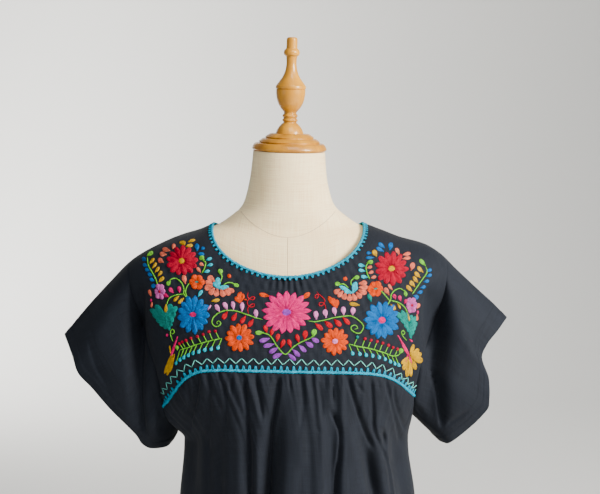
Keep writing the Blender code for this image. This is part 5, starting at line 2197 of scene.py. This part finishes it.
class Embroidery:
    """All the motifs on the front yoke, gathered by family."""

    def __init__(self, cloth: WornCloth, materials: Materials) -> None:
        """Prepare the ground the stitches lie on.

        Args:
            cloth: Cloth it is sewn on.
            materials: Materials of the piece.
        """
        self.cloth = cloth
        self.ground = YokeGround(cloth)
        self.materials = materials

    def family(self, name: str) -> Stitchwork:
        """Start the stitches of one family of motifs."""
        return Stitchwork(name, self.ground, self.materials, seed=sum(map(ord, name)))

    def blooms(self, name: str) -> Object:
        """Flowers of one family: alternate petals lie a little higher, and the eye on top.

        Args:
            name: Name of the family.

        Returns:
            The finished piece.
        """
        work = self.family(name)
        for bloom in BLOOMS[name]:
            x, drop = bloom.centre
            scale = self.ground.scale(bloom.centre)
            for k in range(bloom.petals):
                angle = math.radians(bloom.turn) + 2 * math.pi * k / bloom.petals
                reach = work.hand.uniform(*PETAL_REACH)
                side = np.array([bloom.across * math.cos(angle), bloom.down * math.sin(angle)])
                turned = np.array([-bloom.across * math.sin(angle), bloom.down * math.cos(angle)])
                gap = 2 * math.pi / bloom.petals * np.linalg.norm(turned * scale)
                base = (x + PETAL_FOOT * side[0], drop - PETAL_FOOT * side[1])
                end = (x + reach * side[0], drop - reach * side[1])
                jag = PETAL_JAG[bloom.tip]
                work.leaf(base, end, PETAL_FILL * gap, bloom.thread, bloom.tip, PETAL_HEIGHT, jag,
                          PETAL_LIFT * (k % 2))
            eye = bloom.eye
            work.leaf((x - eye[0], drop), (x + eye[0], drop), 2 * eye[1] * scale[1],
                      bloom.eye_thread, Tip.BUD, 1.25, 0.1, 0.35)
        return work.piece()

    def add_leaves(self, work: Stitchwork, group: Leaves) -> None:
        """Lay the little leaves of one kind by their middles.

        Args:
            work: Stitches that take it in.
            group: The leaves.
        """
        for x, drop in group.middles:
            scale = self.ground.scale((x, drop))
            angle = math.radians(group.heading + work.hand.uniform(-4, 4))
            step = np.array([math.cos(angle), -math.sin(angle)]) * group.length / 2
            seen = math.hypot(math.cos(angle) * scale[0], math.sin(angle) * scale[1])
            width = group.width * math.hypot(math.sin(angle) * scale[0],
                                             math.cos(angle) * scale[1])
            work.leaf((x - step[0], drop - step[1]), (x + step[0], drop + step[1]),
                      width * work.hand.uniform(0.94, 1.06), group.thread, group.tip,
                      jag=0.3 * seen)

    def mixed(self, name: str) -> Object:
        """Stems and leaves of one family.

        Args:
            name: Name of the family.

        Returns:
            The finished piece.
        """
        work = self.family(name)
        for stem in STEMS.get(name, ()):
            work.thread_line(stem.points, stem.width, stem.thread)
        for group in LEAVES.get(name, ()):
            self.add_leaves(work, group)
        for (family, thread), patches in PATCHES.items():
            if family == name:
                for k, patch in enumerate(patches):
                    work.leaf(*patch, thread, Tip.ROUND, 0.85, 0.9, 0.1 * (k % 2))
        return work.piece()

    def ferns(self) -> Object:
        """Fern branches, whose twigs leave the stem and end in buds and drops.

        Returns:
            The finished piece.
        """
        work = self.family("ferns")
        for fern in FERNS:
            work.thread_line(fern.stem, STEM_WIDTH, Thread.GREEN)
            stem = flowing_line(fern.stem, 1.0)
            for upper, buds in ((True, fern.above), (False, fern.below)):
                for k, (x, drop) in enumerate(buds):
                    foot = stem[np.argmin(np.abs(stem[:, 0] - (x + fern.lean)))]
                    work.thread_line([tuple(foot), (x, drop)], TWIG_WIDTH, Thread.GREEN)
                    ahead = np.array([x - foot[0], drop - foot[1]])
                    ahead = ahead / np.linalg.norm(ahead)
                    half, width = BUD_SIZE[upper]
                    thread = Thread.CRIMSON if upper else Thread.TURQUOISE
                    if upper and fern.lean < 0 and k == 0:
                        thread = Thread.TEAL
                    work.leaf((x - ahead[0] * half, drop - ahead[1] * half),
                              (x + ahead[0] * half, drop + ahead[1] * half),
                              width, thread, Tip.DROP, lift=0.25)
        for group in FERN_BUDS:
            self.add_leaves(work, group)
        return work.piece()

    def zigzag(self) -> Object:
        """Line of straight stitches that turns up and down above the seam.

        Returns:
            The finished piece.
        """
        work = self.family("zigzag")
        seam = resampled(self.cloth.seam_edges(), np.linspace(0, 1, ZIGZAG_SAMPLES))
        heading = unit(np.gradient(seam, axis=0))
        rise = np.stack([heading[:, 1], -heading[:, 0]], axis=-1)
        nearer = ZIGZAG_DRAW * smooth_step((seam[:, :1] - ZIGZAG_DRAW_START) / ZIGZAG_DRAW_RUN)
        path = seam + rise * (ZIGZAG_RISE - nearer)
        depth = self.cloth.yoke_depth(path[:, 0], path[:, 1], Face.FRONT)
        along = lengths_along(self.cloth.point(path[:, 0], depth, path[:, 1]))
        stops = np.arange(ZIGZAG_ENDS[0], along[-1] - ZIGZAG_ENDS[1], ZIGZAG_STEP)
        stops = stops + work.hand.uniform(-ZIGZAG_SLIP, ZIGZAG_SLIP, len(stops))
        turns = []
        for k, stop in enumerate(stops):
            spot = np.array([np.interp(stop, along, path[:, i]) for i in (0, 1)])
            way = np.array([np.interp(stop, along, rise[:, i]) for i in (0, 1)])
            side = ZIGZAG_HALF * (1 if k % 2 else -1) + work.hand.uniform(-ZIGZAG_JOG, ZIGZAG_JOG)
            turns.append(tuple(spot + way * side))
        for start, end in zip(turns[:-1], turns[1:]):
            work.straight(start, end, ZIGZAG_WIDTH, Thread.MINT)
        return work.piece()

    def build(self) -> list[Object]:
        """Stitch every family, flowers last so that stems run under them.

        Returns:
            The finished pieces.
        """
        pieces = [self.mixed(name) for name in ("vines", "sprays", "curlicues", "garland",
                                                "loose_leaves", "fans", "heart_leaves",
                                                "tulips", "orange_buds")]
        pieces += [self.ferns(), self.zigzag()]
        return pieces + [self.blooms(name) for name in BLOOMS]


@dataclass(frozen=True)
class Trim:
    """Sizes of one edging: its cord, and its teeth with their pitch, length and spread."""

    name: str
    stands_for: str
    closed: bool
    half: float
    lift: float
    step: float
    pitch: float
    length: float
    uneven: float
    spread: float
    seed: int = 1


NECK_TRIM = Trim("neck_cord", "neck_edging", True, 1.85, 0.9, 0.75, 8.0, 5.2, 0.0, 1.5)
SEAM_TRIM = Trim("yoke_cord", "yoke_edging", False, 2.15, 1.0, 0.8, 9.0, 6.8, 1.2, 1.7, 5)


@dataclass
class Edging:
    """Crocheted-look cord along a cloth edge with a row of blanket-stitch teeth."""

    cloth: WornCloth
    materials: Materials
    flatness: float = 0.8
    twist: float = 5.2
    cord_sides: int = 14
    tooth_half: float = 1.05
    tooth_height: float = 0.85
    tooth_lift: float = 0.45
    tip_half: float = 0.3
    samples: int = 6

    def tooth(self, work: Stitchwork, foot: np.ndarray, ahead: np.ndarray, along: np.ndarray,
              normal: np.ndarray, length: float, spread: float) -> None:
        """Two straight stitches that meet at the tooth's tip.

        Args:
            work: Stitches that take it in.
            foot: Where it stands.
            ahead: Its direction.
            along: Direction of the cord.
            normal: Cloth normal there.
            length: Its length.
            spread: Half of its foot's width.
        """
        share = np.linspace(0, 1, self.samples)[:, None]
        up = np.repeat(normal[None], self.samples, axis=0)
        for side in (-1, 1):
            start = foot + along * side * spread
            end = foot + ahead * length + along * side * self.tip_half
            line = start + (end - start) * share + normal * self.tooth_lift
            work.add(*rope(line, up, self.tooth_half, self.tooth_height, 0, False, 8, True),
                     Thread.SKY)

    @staticmethod
    def evenly(line: np.ndarray, step: float, closed: bool) -> np.ndarray:
        """The same line with places `step` apart.

        Args:
            line: Places of the line.
            step: Distance between points.
            closed: Whether the line closes.

        Returns:
            The new places.
        """
        ring = np.concatenate([line, line[:1]]) if closed else line
        along = lengths_along(ring)
        at = np.linspace(0, along[-1], int(round(along[-1] / step)) + 1)
        at = at[:-1] if closed else at
        return np.stack([np.interp(at, along, ring[:, k]) for k in range(3)], axis=-1)

    def sew(self, trim: Trim, line: np.ndarray, normals: np.ndarray, inward: np.ndarray
            ) -> Object:
        """Cord along a line on the cloth, with teeth that point into the cloth.

        Args:
            trim: Sizes of the edging.
            line: Places on the cloth.
            normals: Cloth normals at the places.
            inward: Directions into the cloth.

        Returns:
            The finished piece.
        """
        joined = self.evenly(line, trim.step, trim.closed)
        nearest = [int(np.argmin(np.linalg.norm(line - spot, axis=1))) for spot in joined]
        side = normals[nearest]
        work = Stitchwork(trim.name, YokeGround(self.cloth), self.materials, trim.seed)
        work.add(*rope(joined + side * trim.lift, side, trim.half, trim.half * self.flatness,
                       self.twist, trim.closed, self.cord_sides), Thread.SKY)
        last = len(joined) - 1
        count = int(round(lengths_along(joined)[-1] / trim.pitch))
        for k in range(count):
            if trim.closed:
                i = int(round(k / count * len(joined))) % len(joined)
            else:
                i = min(last, int((k + 0.5) / count * len(joined)))
            along = unit(joined[min(i + 2, last)] - joined[max(i - 2, 0)])
            ahead = np.cross(side[i], along)
            ahead = unit(ahead * np.sign(ahead @ inward[nearest[i]]))
            length = trim.length + work.hand.uniform(0, trim.uneven)
            self.tooth(work, joined[i] + ahead * trim.lift, ahead, along, side[i], length, trim.spread)
        return settle(work.piece(), [trim.stands_for])

    def neck(self, grids: dict[Face, np.ndarray], normals: dict[Face, np.ndarray]
             ) -> Object:
        """Edging round the whole neckline, with short teeth.

        Args:
            grids: Outer places of each yoke.
            normals: Their normals.

        Returns:
            The finished piece.
        """
        line = np.concatenate([grids[face][0, :-1] for face in Face])
        outward = np.concatenate([normals[face][0, :-1] for face in Face])
        inward = np.concatenate([unit(grids[face][2, :-1] - grids[face][0, :-1]) for face in Face])
        return self.sew(NECK_TRIM, line, outward, inward)

    def seam(self, grid: np.ndarray, normals: np.ndarray, fine: int) -> Object:
        """Edging along the front yoke seam, with longer teeth that point up into the yoke.

        Args:
            grid: Outer places of the front yoke.
            normals: Their normals.
            fine: Columns for each of the yoke's own steps.

        Returns:
            The finished piece.
        """
        first, last = SIDE_COLUMNS * fine, grid.shape[1] - SIDE_COLUMNS * fine
        line = grid[-1, first:last]
        return self.sew(SEAM_TRIM, line, normals[-1, first:last],
                        unit(grid[-4, first:last] - line))


@dataclass
class Blouse:
    """The cut and sewn blouse: two yokes, two gathered panels, two sleeves and its edging."""

    cloth: WornCloth
    materials: Materials
    thickness: float = 0.9
    yoke_rows: int = 56
    yoke_fine: int = 6
    body_rows: int = 128
    body_fine: int = 11
    sleeve_rows: int = 76
    sleeve_fine: int = 7
    dip: float = 0.5
    hem_step: float = 0.7
    body_hem: float = 16.0
    sleeve_hem: float = 13.0
    fold_run: float = 2.2
    stitch_inset: float = 2.0
    stitch: float = 2.4
    stitch_pitch: float = 4.2
    stitch_ends: Pair = (3.0, 4.0)

    def sewn(self, grid: np.ndarray, normals: np.ndarray, closed: bool, hem: float
             ) -> np.ndarray:
        """The grid with its seams drawn in a little and its turned-up hem standing out.

        Args:
            grid: Outer places, rows by columns.
            normals: Outward normals.
            closed: Whether the columns close on themselves.
            hem: Height of the hem, or 0 for none.

        Returns:
            Outer places of the sewn panel.
        """
        across, down = cloth_lengths(grid, closed)
        across, down = across[:, :grid.shape[1]], down[:, :grid.shape[1]]
        dip = np.exp(-(down / self.fold_run) ** 2)
        if not closed:
            near = np.minimum(across - across[:, :1], across[:, -1:] - across)
            dip = np.maximum(dip, np.exp(-(near / self.fold_run) ** 2))
        lift = -self.dip * dip
        if hem:
            above = (down[-1] - down - hem) / self.fold_run
            lift = lift + self.hem_step * (1 - smooth_step(above))
        return grid + normals * lift[..., None]

    def panel(self, name: str, grid: np.ndarray, closed: bool, sign: int, hem: float = 0.0
              ) -> tuple[Object, np.ndarray, np.ndarray]:
        """Make one panel of cloth, and give it back with its outer places and normals.

        Args:
            name: Name of the piece.
            grid: Places, rows by columns.
            closed: Whether the columns close on themselves.
            sign: 1, or -1 to turn the normals over.
            hem: Height of the hem.

        Returns:
            The panel, its outer places and its normals.
        """
        normals = grid_normals(grid, closed, sign)
        outer = self.sewn(grid, normals, closed, hem)
        thing = cloth_shell(name + "_cloth", outer, normals, self.thickness,
                            self.materials.cotton, closed)
        settle(thing, [name])
        return thing, outer, normals

    def build(self, rests_on: Sequence[Object]) -> None:
        """Args:
            rests_on: Pieces that the cloth lies on; not used.
        """
        yokes, yoke_normals = {}, {}
        for face, name in ((Face.FRONT, "yoke_front"), (Face.BACK, "yoke_back")):
            yokes[face] = self.cloth.yoke_grid(face, self.yoke_rows, self.yoke_fine)
            sheet, _, yoke_normals[face] = self.panel(name, yokes[face], False, 1)
        for face, name in ((Face.FRONT, "body_front"), (Face.BACK, "body_back")):
            grid = self.cloth.body_grid(face, self.body_rows, self.body_fine)
            sheet, outer, normals = self.panel(name, grid, False, 1, self.body_hem)
            hem = self.hem(name + "_hem", outer, normals, self.body_hem - self.stitch_inset)
        for side, name in ((Side.RIGHT, "sleeve_right"), (Side.LEFT, "sleeve_left")):
            grid = self.cloth.sleeve_grid(side, self.sleeve_rows, self.sleeve_fine)
            sheet, outer, normals = self.panel(name, grid, True, -side, self.sleeve_hem)
            hem = self.hem(name + "_hem", outer, normals, self.sleeve_hem - self.stitch_inset)
        edging = Edging(self.cloth, self.materials)
        edging.neck(yokes, yoke_normals)
        edging.seam(yokes[Face.FRONT], yoke_normals[Face.FRONT], self.yoke_fine)

    def hem(self, name: str, grid: np.ndarray, normals: np.ndarray, height: float
            ) -> Object:
        """Row of small running stitches that hold the turned-up hem.

        Args:
            name: Name of the piece.
            grid: Places, rows by columns.
            normals: Cloth normals at the places.
            height: Height above the edge.

        Returns:
            The finished piece.
        """
        up = lengths_along(grid[::-1, grid.shape[1] // 2])
        row = grid.shape[0] - 1 - int(np.searchsorted(up, height))
        line, side = grid[row], normals[row]
        along = lengths_along(line)
        work = Stitchwork(name, YokeGround(self.cloth), self.materials)
        at, margin = self.stitch_ends
        while at < along[-1] - margin:
            spots = np.linspace(at, at + self.stitch, 4)
            places, faces = (np.stack([np.interp(spots, along, rows[:, k]) for k in range(3)],
                                      axis=-1) for rows in (line, side))
            parts = rope(places + faces * 0.12, unit(faces), 0.26, 0.22, 0, False, 5, True)
            work.add(*parts, Thread.BLACK)
            at += self.stitch_pitch
        return work.piece()


class Turn(NamedTuple):
    """Height and radius of a turned profile."""

    height: float
    radius: float


class FormLevel(NamedTuple):
    """Level of the dress form: half its width, and its front and back depth."""

    drop: float
    half: float
    front: float
    back: float


FORM = rows_of(
    FormLevel, (-109, 55, -50, 60), (-90, 56.5, -51, 62), (-70, 58.8, -52, 64), (-45, 64, -53, 68),
    (-30, 69, -54, 71), (-20, 76, -55, 73), (-10, 88, -56, 75), (-2, 99, -57, 77), (2, 105, -57, 78),
    (5, 112, -57, 79), (9, 125, -58, 80), (16, 146, -63, 82), (24, 164, -69, 86), (33, 173, -74, 90),
    (45, 178, -79, 94), (60, 180, -84, 98), (100, 172, -98.5, 102), (150, 162, -118, 104),
    (200, 156, -131, 103), (250, 151, -128, 97), (300, 142, -112, 88), (350, 130, -98, 80),
    (400, 122, -92, 78), (450, 130, -97, 88), (520, 152, -106, 106), (600, 169, -112, 118),
    (650, 170, -108, 114), (700, 165, -100, 104))
NECK_LEAN = math.radians(1.6)
NECK_NOD = math.radians(3.5)
LEAN_START = -60.0
SEAT_GAP = 0.3
CAP_PROFILE = rows_of(
    Turn, (0, 53), (1.6, 56.2), (3.4, 57.2), (6.6, 56.2), (11.6, 51.6), (12, 46.6), (13, 46), (13.8, 47),
    (15.5, 45.4), (18.6, 40.6), (19.2, 37), (20, 36.6), (20.8, 37.4), (22.5, 35.6), (26.2, 29.7))
FINIAL_PROFILE = rows_of(
    Turn, (0, 21.4), (5, 19.6), (10.4, 16.4), (14.2, 12.9), (17, 10), (20.5, 12), (23.1, 10),
    (26.9, 11.8), (30.8, 9.5), (38.4, 14.8), (46.1, 19.1), (53.7, 21.3), (61.3, 22.3), (66.4, 22.4),
    (67.2, 21.2), (68.2, 23.1), (71.2, 22.9), (75, 20.6), (79.2, 17.5), (85.5, 13.2), (91.9, 10.3),
    (98.3, 8.6), (107.2, 7.7), (115.5, 8.3), (118.7, 11.4), (121.8, 12.2), (125, 11.4), (129.1, 8.4),
    (141.6, 8.3), (144.1, 7), (145, 5))
BASE_RADIUS = 150.0
BASE_HEIGHT = 25.0
BASE_EDGE = 8.0
POLE_RADIUS = 16.0
BOARD_RADIUS = 88.0
BOARD_HEIGHT = 12.0


@dataclass
class DressForm:
    """Linen-covered limbless form on its pole, with a turned neck cap and finial."""

    materials: Materials
    around: int = 160
    rows: int = 190
    turn_steps: int = 96
    collar_drop: float = 18.0
    collar_curve: float = 0.0070
    collar_half: float = 71.5
    collar_steps: int = 220
    seam_step: float = 3.0
    welt_half: float = 0.55
    welt_height: float = 0.4

    @staticmethod
    def skin(angle: np.ndarray, drop: np.ndarray) -> np.ndarray:
        """Places on the padded torso at angles round it, which start at the wearer's left.

        Args:
            angle: Angles round the form.
            drop: Drops below the shoulder line.

        Returns:
            Places in space.
        """
        half, front, back = (look_up(FORM, "drop", name, drop)
                             for name in ("half", "front", "back"))
        x = half * np.cos(angle)
        y = (front + back) / 2 + (back - front) / 2 * np.sin(angle)
        tip = smooth_step((LEAN_START - drop) / (LEAN_START - FORM[0].drop))
        rise = (y * math.tan(NECK_NOD) - x * math.tan(NECK_LEAN)) * tip
        lean = np.maximum(0.0, LEAN_START - drop) * math.tan(NECK_LEAN)
        return WornCloth.point(x + lean, y, drop - rise)

    def linen(self) -> Object:
        """Padded torso in its tight linen cover, whose threads run level and plumb in front.

        Returns:
            The finished piece.
        """
        drops = np.linspace(FORM[0].drop, FORM[-1].drop, self.rows)
        angle = math.pi / 2 + 2 * math.pi * np.arange(self.around) / self.around
        grid = self.skin(angle[None, :], drops[:, None])
        across, down = cloth_lengths(grid, True)
        faces = grid_faces(self.rows, self.around, True)
        uvs = [(across[row, col], down[row, col]) for i in range(self.rows - 1)
               for j in range(self.around)
               for row, col in ((i, j), (i, j + 1), (i + 1, j + 1), (i + 1, j))]
        faces.append(tuple(range(self.around))[::-1])
        faces.append(tuple(range((self.rows - 1) * self.around, self.rows * self.around)))
        uvs += [(x, y) for x, y in grid[0, ::-1, :2]] + [(x, y) for x, y in grid[-1, :, :2]]
        thing = place_object("linen_form", grid.reshape(-1, 3), faces, uvs,
                             [self.materials.linen])
        return settle(thing, ["form"])

    def seam_line(self, angle: np.ndarray, drop: np.ndarray, closed: bool
                  ) -> tuple[np.ndarray, list[tuple[int, ...]], list[Pair]]:
        """Narrow welt along a seam of the cover.

        Args:
            angle: Angles along the seam.
            drop: Drops below the shoulder line.
            closed: Whether it closes.

        Returns:
            Places, faces and UV pairs.
        """
        line = self.skin(angle, drop)
        normals = unit(np.cross(self.skin(angle + 0.01, drop) - line,
                                self.skin(angle, drop - 0.5) - line))
        return rope(line, normals, self.welt_half, self.welt_height, 0, closed, 6)

    def seams(self) -> Object:
        """Seams of the cover: round the neck's foot, then down front, back and both sides.

        Returns:
            The finished piece.
        """
        turn = np.arange(self.collar_steps) / self.collar_steps * 2 * math.pi
        x = self.collar_half * np.cos(turn)
        drop = self.collar_drop - self.collar_curve * x ** 2
        half = look_up(FORM, "drop", "half", drop)
        angle = np.arccos(np.clip(x / half, -1, 1)) * np.where(turn < math.pi, 1, -1)
        parts = [self.seam_line(angle, drop, True)]
        for way in (0.0, 0.5, 1.0, 1.5):
            start = self.collar_drop - self.collar_curve * (
                self.collar_half * math.cos(way * math.pi)) ** 2
            down = np.arange(start, FORM[-1].drop, self.seam_step)
            parts.append(self.seam_line(np.full(len(down), way * math.pi), down, False))
        points, faces, uvs, count = [], [], [], 0
        for places, corners, pairs in parts:
            points.append(places)
            faces += [tuple(corner + count for corner in face) for face in corners]
            uvs += pairs
            count += len(places)
        # The welts take the darker seam linen, partly painted shade along the seams.
        thing = place_object("form_seams", np.concatenate(points), faces, uvs,
                             [self.materials.seam])
        return settle(thing)

    def turned(self, name: str, profile: Sequence[Turn], centre: np.ndarray,
               lean: float = 0.0, nod: float = 0.0) -> Object:
        """Turned wooden piece on an axis that leans to +X and nods forward.

        Args:
            name: CAD node it stands for.
            profile: Its turned profile.
            centre: Foot of its axis.
            lean: Angle to +X.
            nod: Angle forward.

        Returns:
            The finished piece.
        """
        angle = 2 * math.pi * np.arange(self.turn_steps) / self.turn_steps
        radius, height = column(profile, "radius")[:, None], column(profile, "height")[:, None]
        x, y = radius * np.cos(angle), radius * np.sin(angle)
        z = np.broadcast_to(height, x.shape)
        y, z = y * math.cos(nod) - z * math.sin(nod), y * math.sin(nod) + z * math.cos(nod)
        x, z = x * math.cos(lean) + z * math.sin(lean), z * math.cos(lean) - x * math.sin(lean)
        grid = np.stack([x, y, z], axis=-1) + centre
        faces = grid_faces(len(profile), self.turn_steps, True)
        count = grid.shape[0] * grid.shape[1]
        faces.append(tuple(range(self.turn_steps))[::-1])
        faces.append(tuple(range(count - self.turn_steps, count)))
        thing = place_object(name + "_wood", grid.reshape(-1, 3), faces, None,
                             [self.materials.wood])
        return settle(thing, [name])

    @staticmethod
    def smooth_profile(profile: Sequence[Turn], step: float = 0.7) -> list[Turn]:
        """The same profile with eased points between those of the table.

        Args:
            profile: The table's points.
            step: Distance between points.

        Returns:
            The finer profile.
        """
        points = np.array(profile, dtype=float)
        along = lengths_along(points)
        at = np.union1d(np.arange(0, along[-1], step), along)
        fine = np.stack([eased(along, points[:, k], at) for k in (0, 1)], axis=-1)
        return [Turn(*row) for row in fine]

    def build(self) -> Object:
        """Make the form with its wood, and give back the linen torso.

        Returns:
            The linen torso.
        """
        torso = self.linen()
        self.seams()
        top = FORM[0]
        seat = WornCloth.point((LEAN_START - top.drop) * math.tan(NECK_LEAN),
                               (top.front + top.back) / 2, top.drop)
        seat[2] += seat[1] * math.tan(NECK_NOD)
        axis = np.array([math.sin(NECK_LEAN), -math.sin(NECK_NOD), math.cos(NECK_NOD)])
        self.turned("neck_cap", self.smooth_profile(CAP_PROFILE), seat + axis * SEAT_GAP,
                    NECK_LEAN, NECK_NOD)
        self.turned("finial", self.smooth_profile(FINIAL_PROFILE),
                    seat + axis * (CAP_PROFILE[-1].height + 2 * SEAT_GAP), NECK_LEAN, NECK_NOD)
        board = SHOULDER_LEVEL - FORM[-1].drop - SEAT_GAP - BOARD_HEIGHT
        centre = np.zeros(3)
        self.turned("board", [Turn(board, BOARD_RADIUS), Turn(board + 1, BOARD_RADIUS),
                              Turn(board + BOARD_HEIGHT, BOARD_RADIUS)], centre)
        self.turned("pole", [Turn(height, POLE_RADIUS) for height in
                             np.linspace(BASE_HEIGHT + SEAT_GAP, board - SEAT_GAP, 12)], centre)
        edge = [Turn(BASE_HEIGHT - BASE_EDGE * (1 - math.sin(angle)),
                     BASE_RADIUS - BASE_EDGE * (1 - math.cos(angle)))
                for angle in np.linspace(0, math.pi / 2, 12)]
        self.turned("base", [Turn(0, BASE_RADIUS), Turn(8, BASE_RADIUS)] + edge, centre)
        return torso


class Lamp(NamedTuple):
    """Soft area light: where it stands, how large and strong it is, and where it points."""

    name: str
    place: tuple[float, float, float]
    size: float
    power: float
    colour: tuple[float, float, float]
    towards: tuple[float, float, float] = (0.018, 0.0, 0.842)


LAMPS = [
    Lamp("window", (2.0, -1.3, 1.75), 0.9, 205, (1.0, 0.97, 0.92)),
    Lamp("bounce", (-2.4, -1.8, 1.3), 1.8, 12, (0.82, 0.91, 1.0)),
    Lamp("ceiling", (0.5, -1.5, 2.8), 1.2, 36, (1.0, 0.985, 0.96)),
    Lamp("wall wash", (-2.0, 2.5, 1.7), 1.2, 165, (1.0, 0.99, 0.96), (0.3, 5.0, 0.9)),
]


@dataclass
class Studio:
    """Pale backdrop, soft lights and the camera at the photo's angle, in metres."""

    target: tuple[float, float, float] = (0.018, 0.0, 0.842)
    distance: float = 1.75
    elevation: float = math.radians(5)
    lens: float = 68.16
    sensor: float = 36.0
    sky: tuple[float, float, float] = (0.86, 0.92, 1.0)
    sky_strength: float = 0.26
    sweep_colour: tuple[float, float, float] = (0.72, 0.715, 0.69)
    sweep_front: float = -4.5
    sweep_start: float = 2.6
    sweep_radius: float = 2.4
    sweep_half: float = 6.5
    sweep_top: float = 5.5

    def backdrop(self) -> None:
        """Curved pale sweep of floor and wall behind the object."""
        material = bpy.data.materials.new("pale sweep")
        material.use_nodes = True
        shader = material.node_tree.nodes["Principled BSDF"]
        shader.inputs["Base Color"].default_value = (*self.sweep_colour, 1)
        shader.inputs["Roughness"].default_value = 0.95
        start, radius, half = self.sweep_start, self.sweep_radius, self.sweep_half
        profile = [(self.sweep_front, 0.0), (start, 0.0)]
        profile += [(start + radius * math.sin(a), radius * (1 - math.cos(a)))
                    for a in np.linspace(0.05, math.pi / 2, 32)]
        profile.append((start + radius, self.sweep_top))
        points = [(x, y, z - 0.0005) for y, z in profile for x in (-half, half)]
        faces = [(2 * i, 2 * i + 1, 2 * i + 3, 2 * i + 2) for i in range(len(profile) - 1)]
        mesh = bpy.data.meshes.new("sweep")
        mesh.from_pydata(points, [], faces)
        mesh.materials.append(material)
        mesh.shade_smooth()
        thing = bpy.data.objects.new("sweep", mesh)
        bpy.context.scene.collection.objects.link(thing)

    def light(self, lamp: Lamp) -> None:
        """Set up one lamp.

        Args:
            lamp: The lamp.
        """
        data = bpy.data.lights.new(lamp.name, "AREA")
        data.shape = "RECTANGLE"
        data.size = data.size_y = lamp.size
        data.energy = lamp.power
        data.color = lamp.colour
        lit = bpy.data.objects.new(lamp.name, data)
        lit.location = lamp.place
        aim = np.array(lamp.towards) - np.array(lamp.place)
        lit.rotation_euler = (math.atan2(math.hypot(aim[0], aim[1]), -aim[2]), 0,
                              math.atan2(aim[1], aim[0]) - math.pi / 2)
        bpy.context.scene.collection.objects.link(lit)

    def camera(self) -> None:
        """Camera a little above the chest, framed as the photo."""
        data = bpy.data.cameras.new("photo camera")
        data.sensor_width = self.sensor
        data.lens = self.lens
        view = bpy.data.objects.new("photo camera", data)
        reach = self.distance
        view.location = (self.target[0], self.target[1] - math.cos(self.elevation) * reach,
                         self.target[2] + math.sin(self.elevation) * reach)
        view.rotation_euler = (math.pi / 2 - self.elevation, 0, 0)
        bpy.context.scene.collection.objects.link(view)
        bpy.context.scene.camera = view

    def build(self) -> None:
        """Set up everything round the object."""
        self.backdrop()
        world = bpy.data.worlds.new("soft room")
        world.use_nodes = True
        sky = world.node_tree.nodes["Background"]
        sky.inputs[0].default_value = (*self.sky, 1)
        sky.inputs[1].default_value = self.sky_strength
        bpy.context.scene.world = world
        for lamp in LAMPS:
            self.light(lamp)
        self.camera()


def main() -> None:
    """Build the piece in the order it is made: form, blouse, embroidery, then the studio."""
    logging.basicConfig(level=logging.INFO, format="%(message)s")
    materials = Materials()
    cloth = WornCloth()
    torso = DressForm(materials).build()
    Blouse(cloth, materials).build([torso])
    Embroidery(cloth, materials).build()
    Studio().build()


if __name__ == "__main__":
    main()
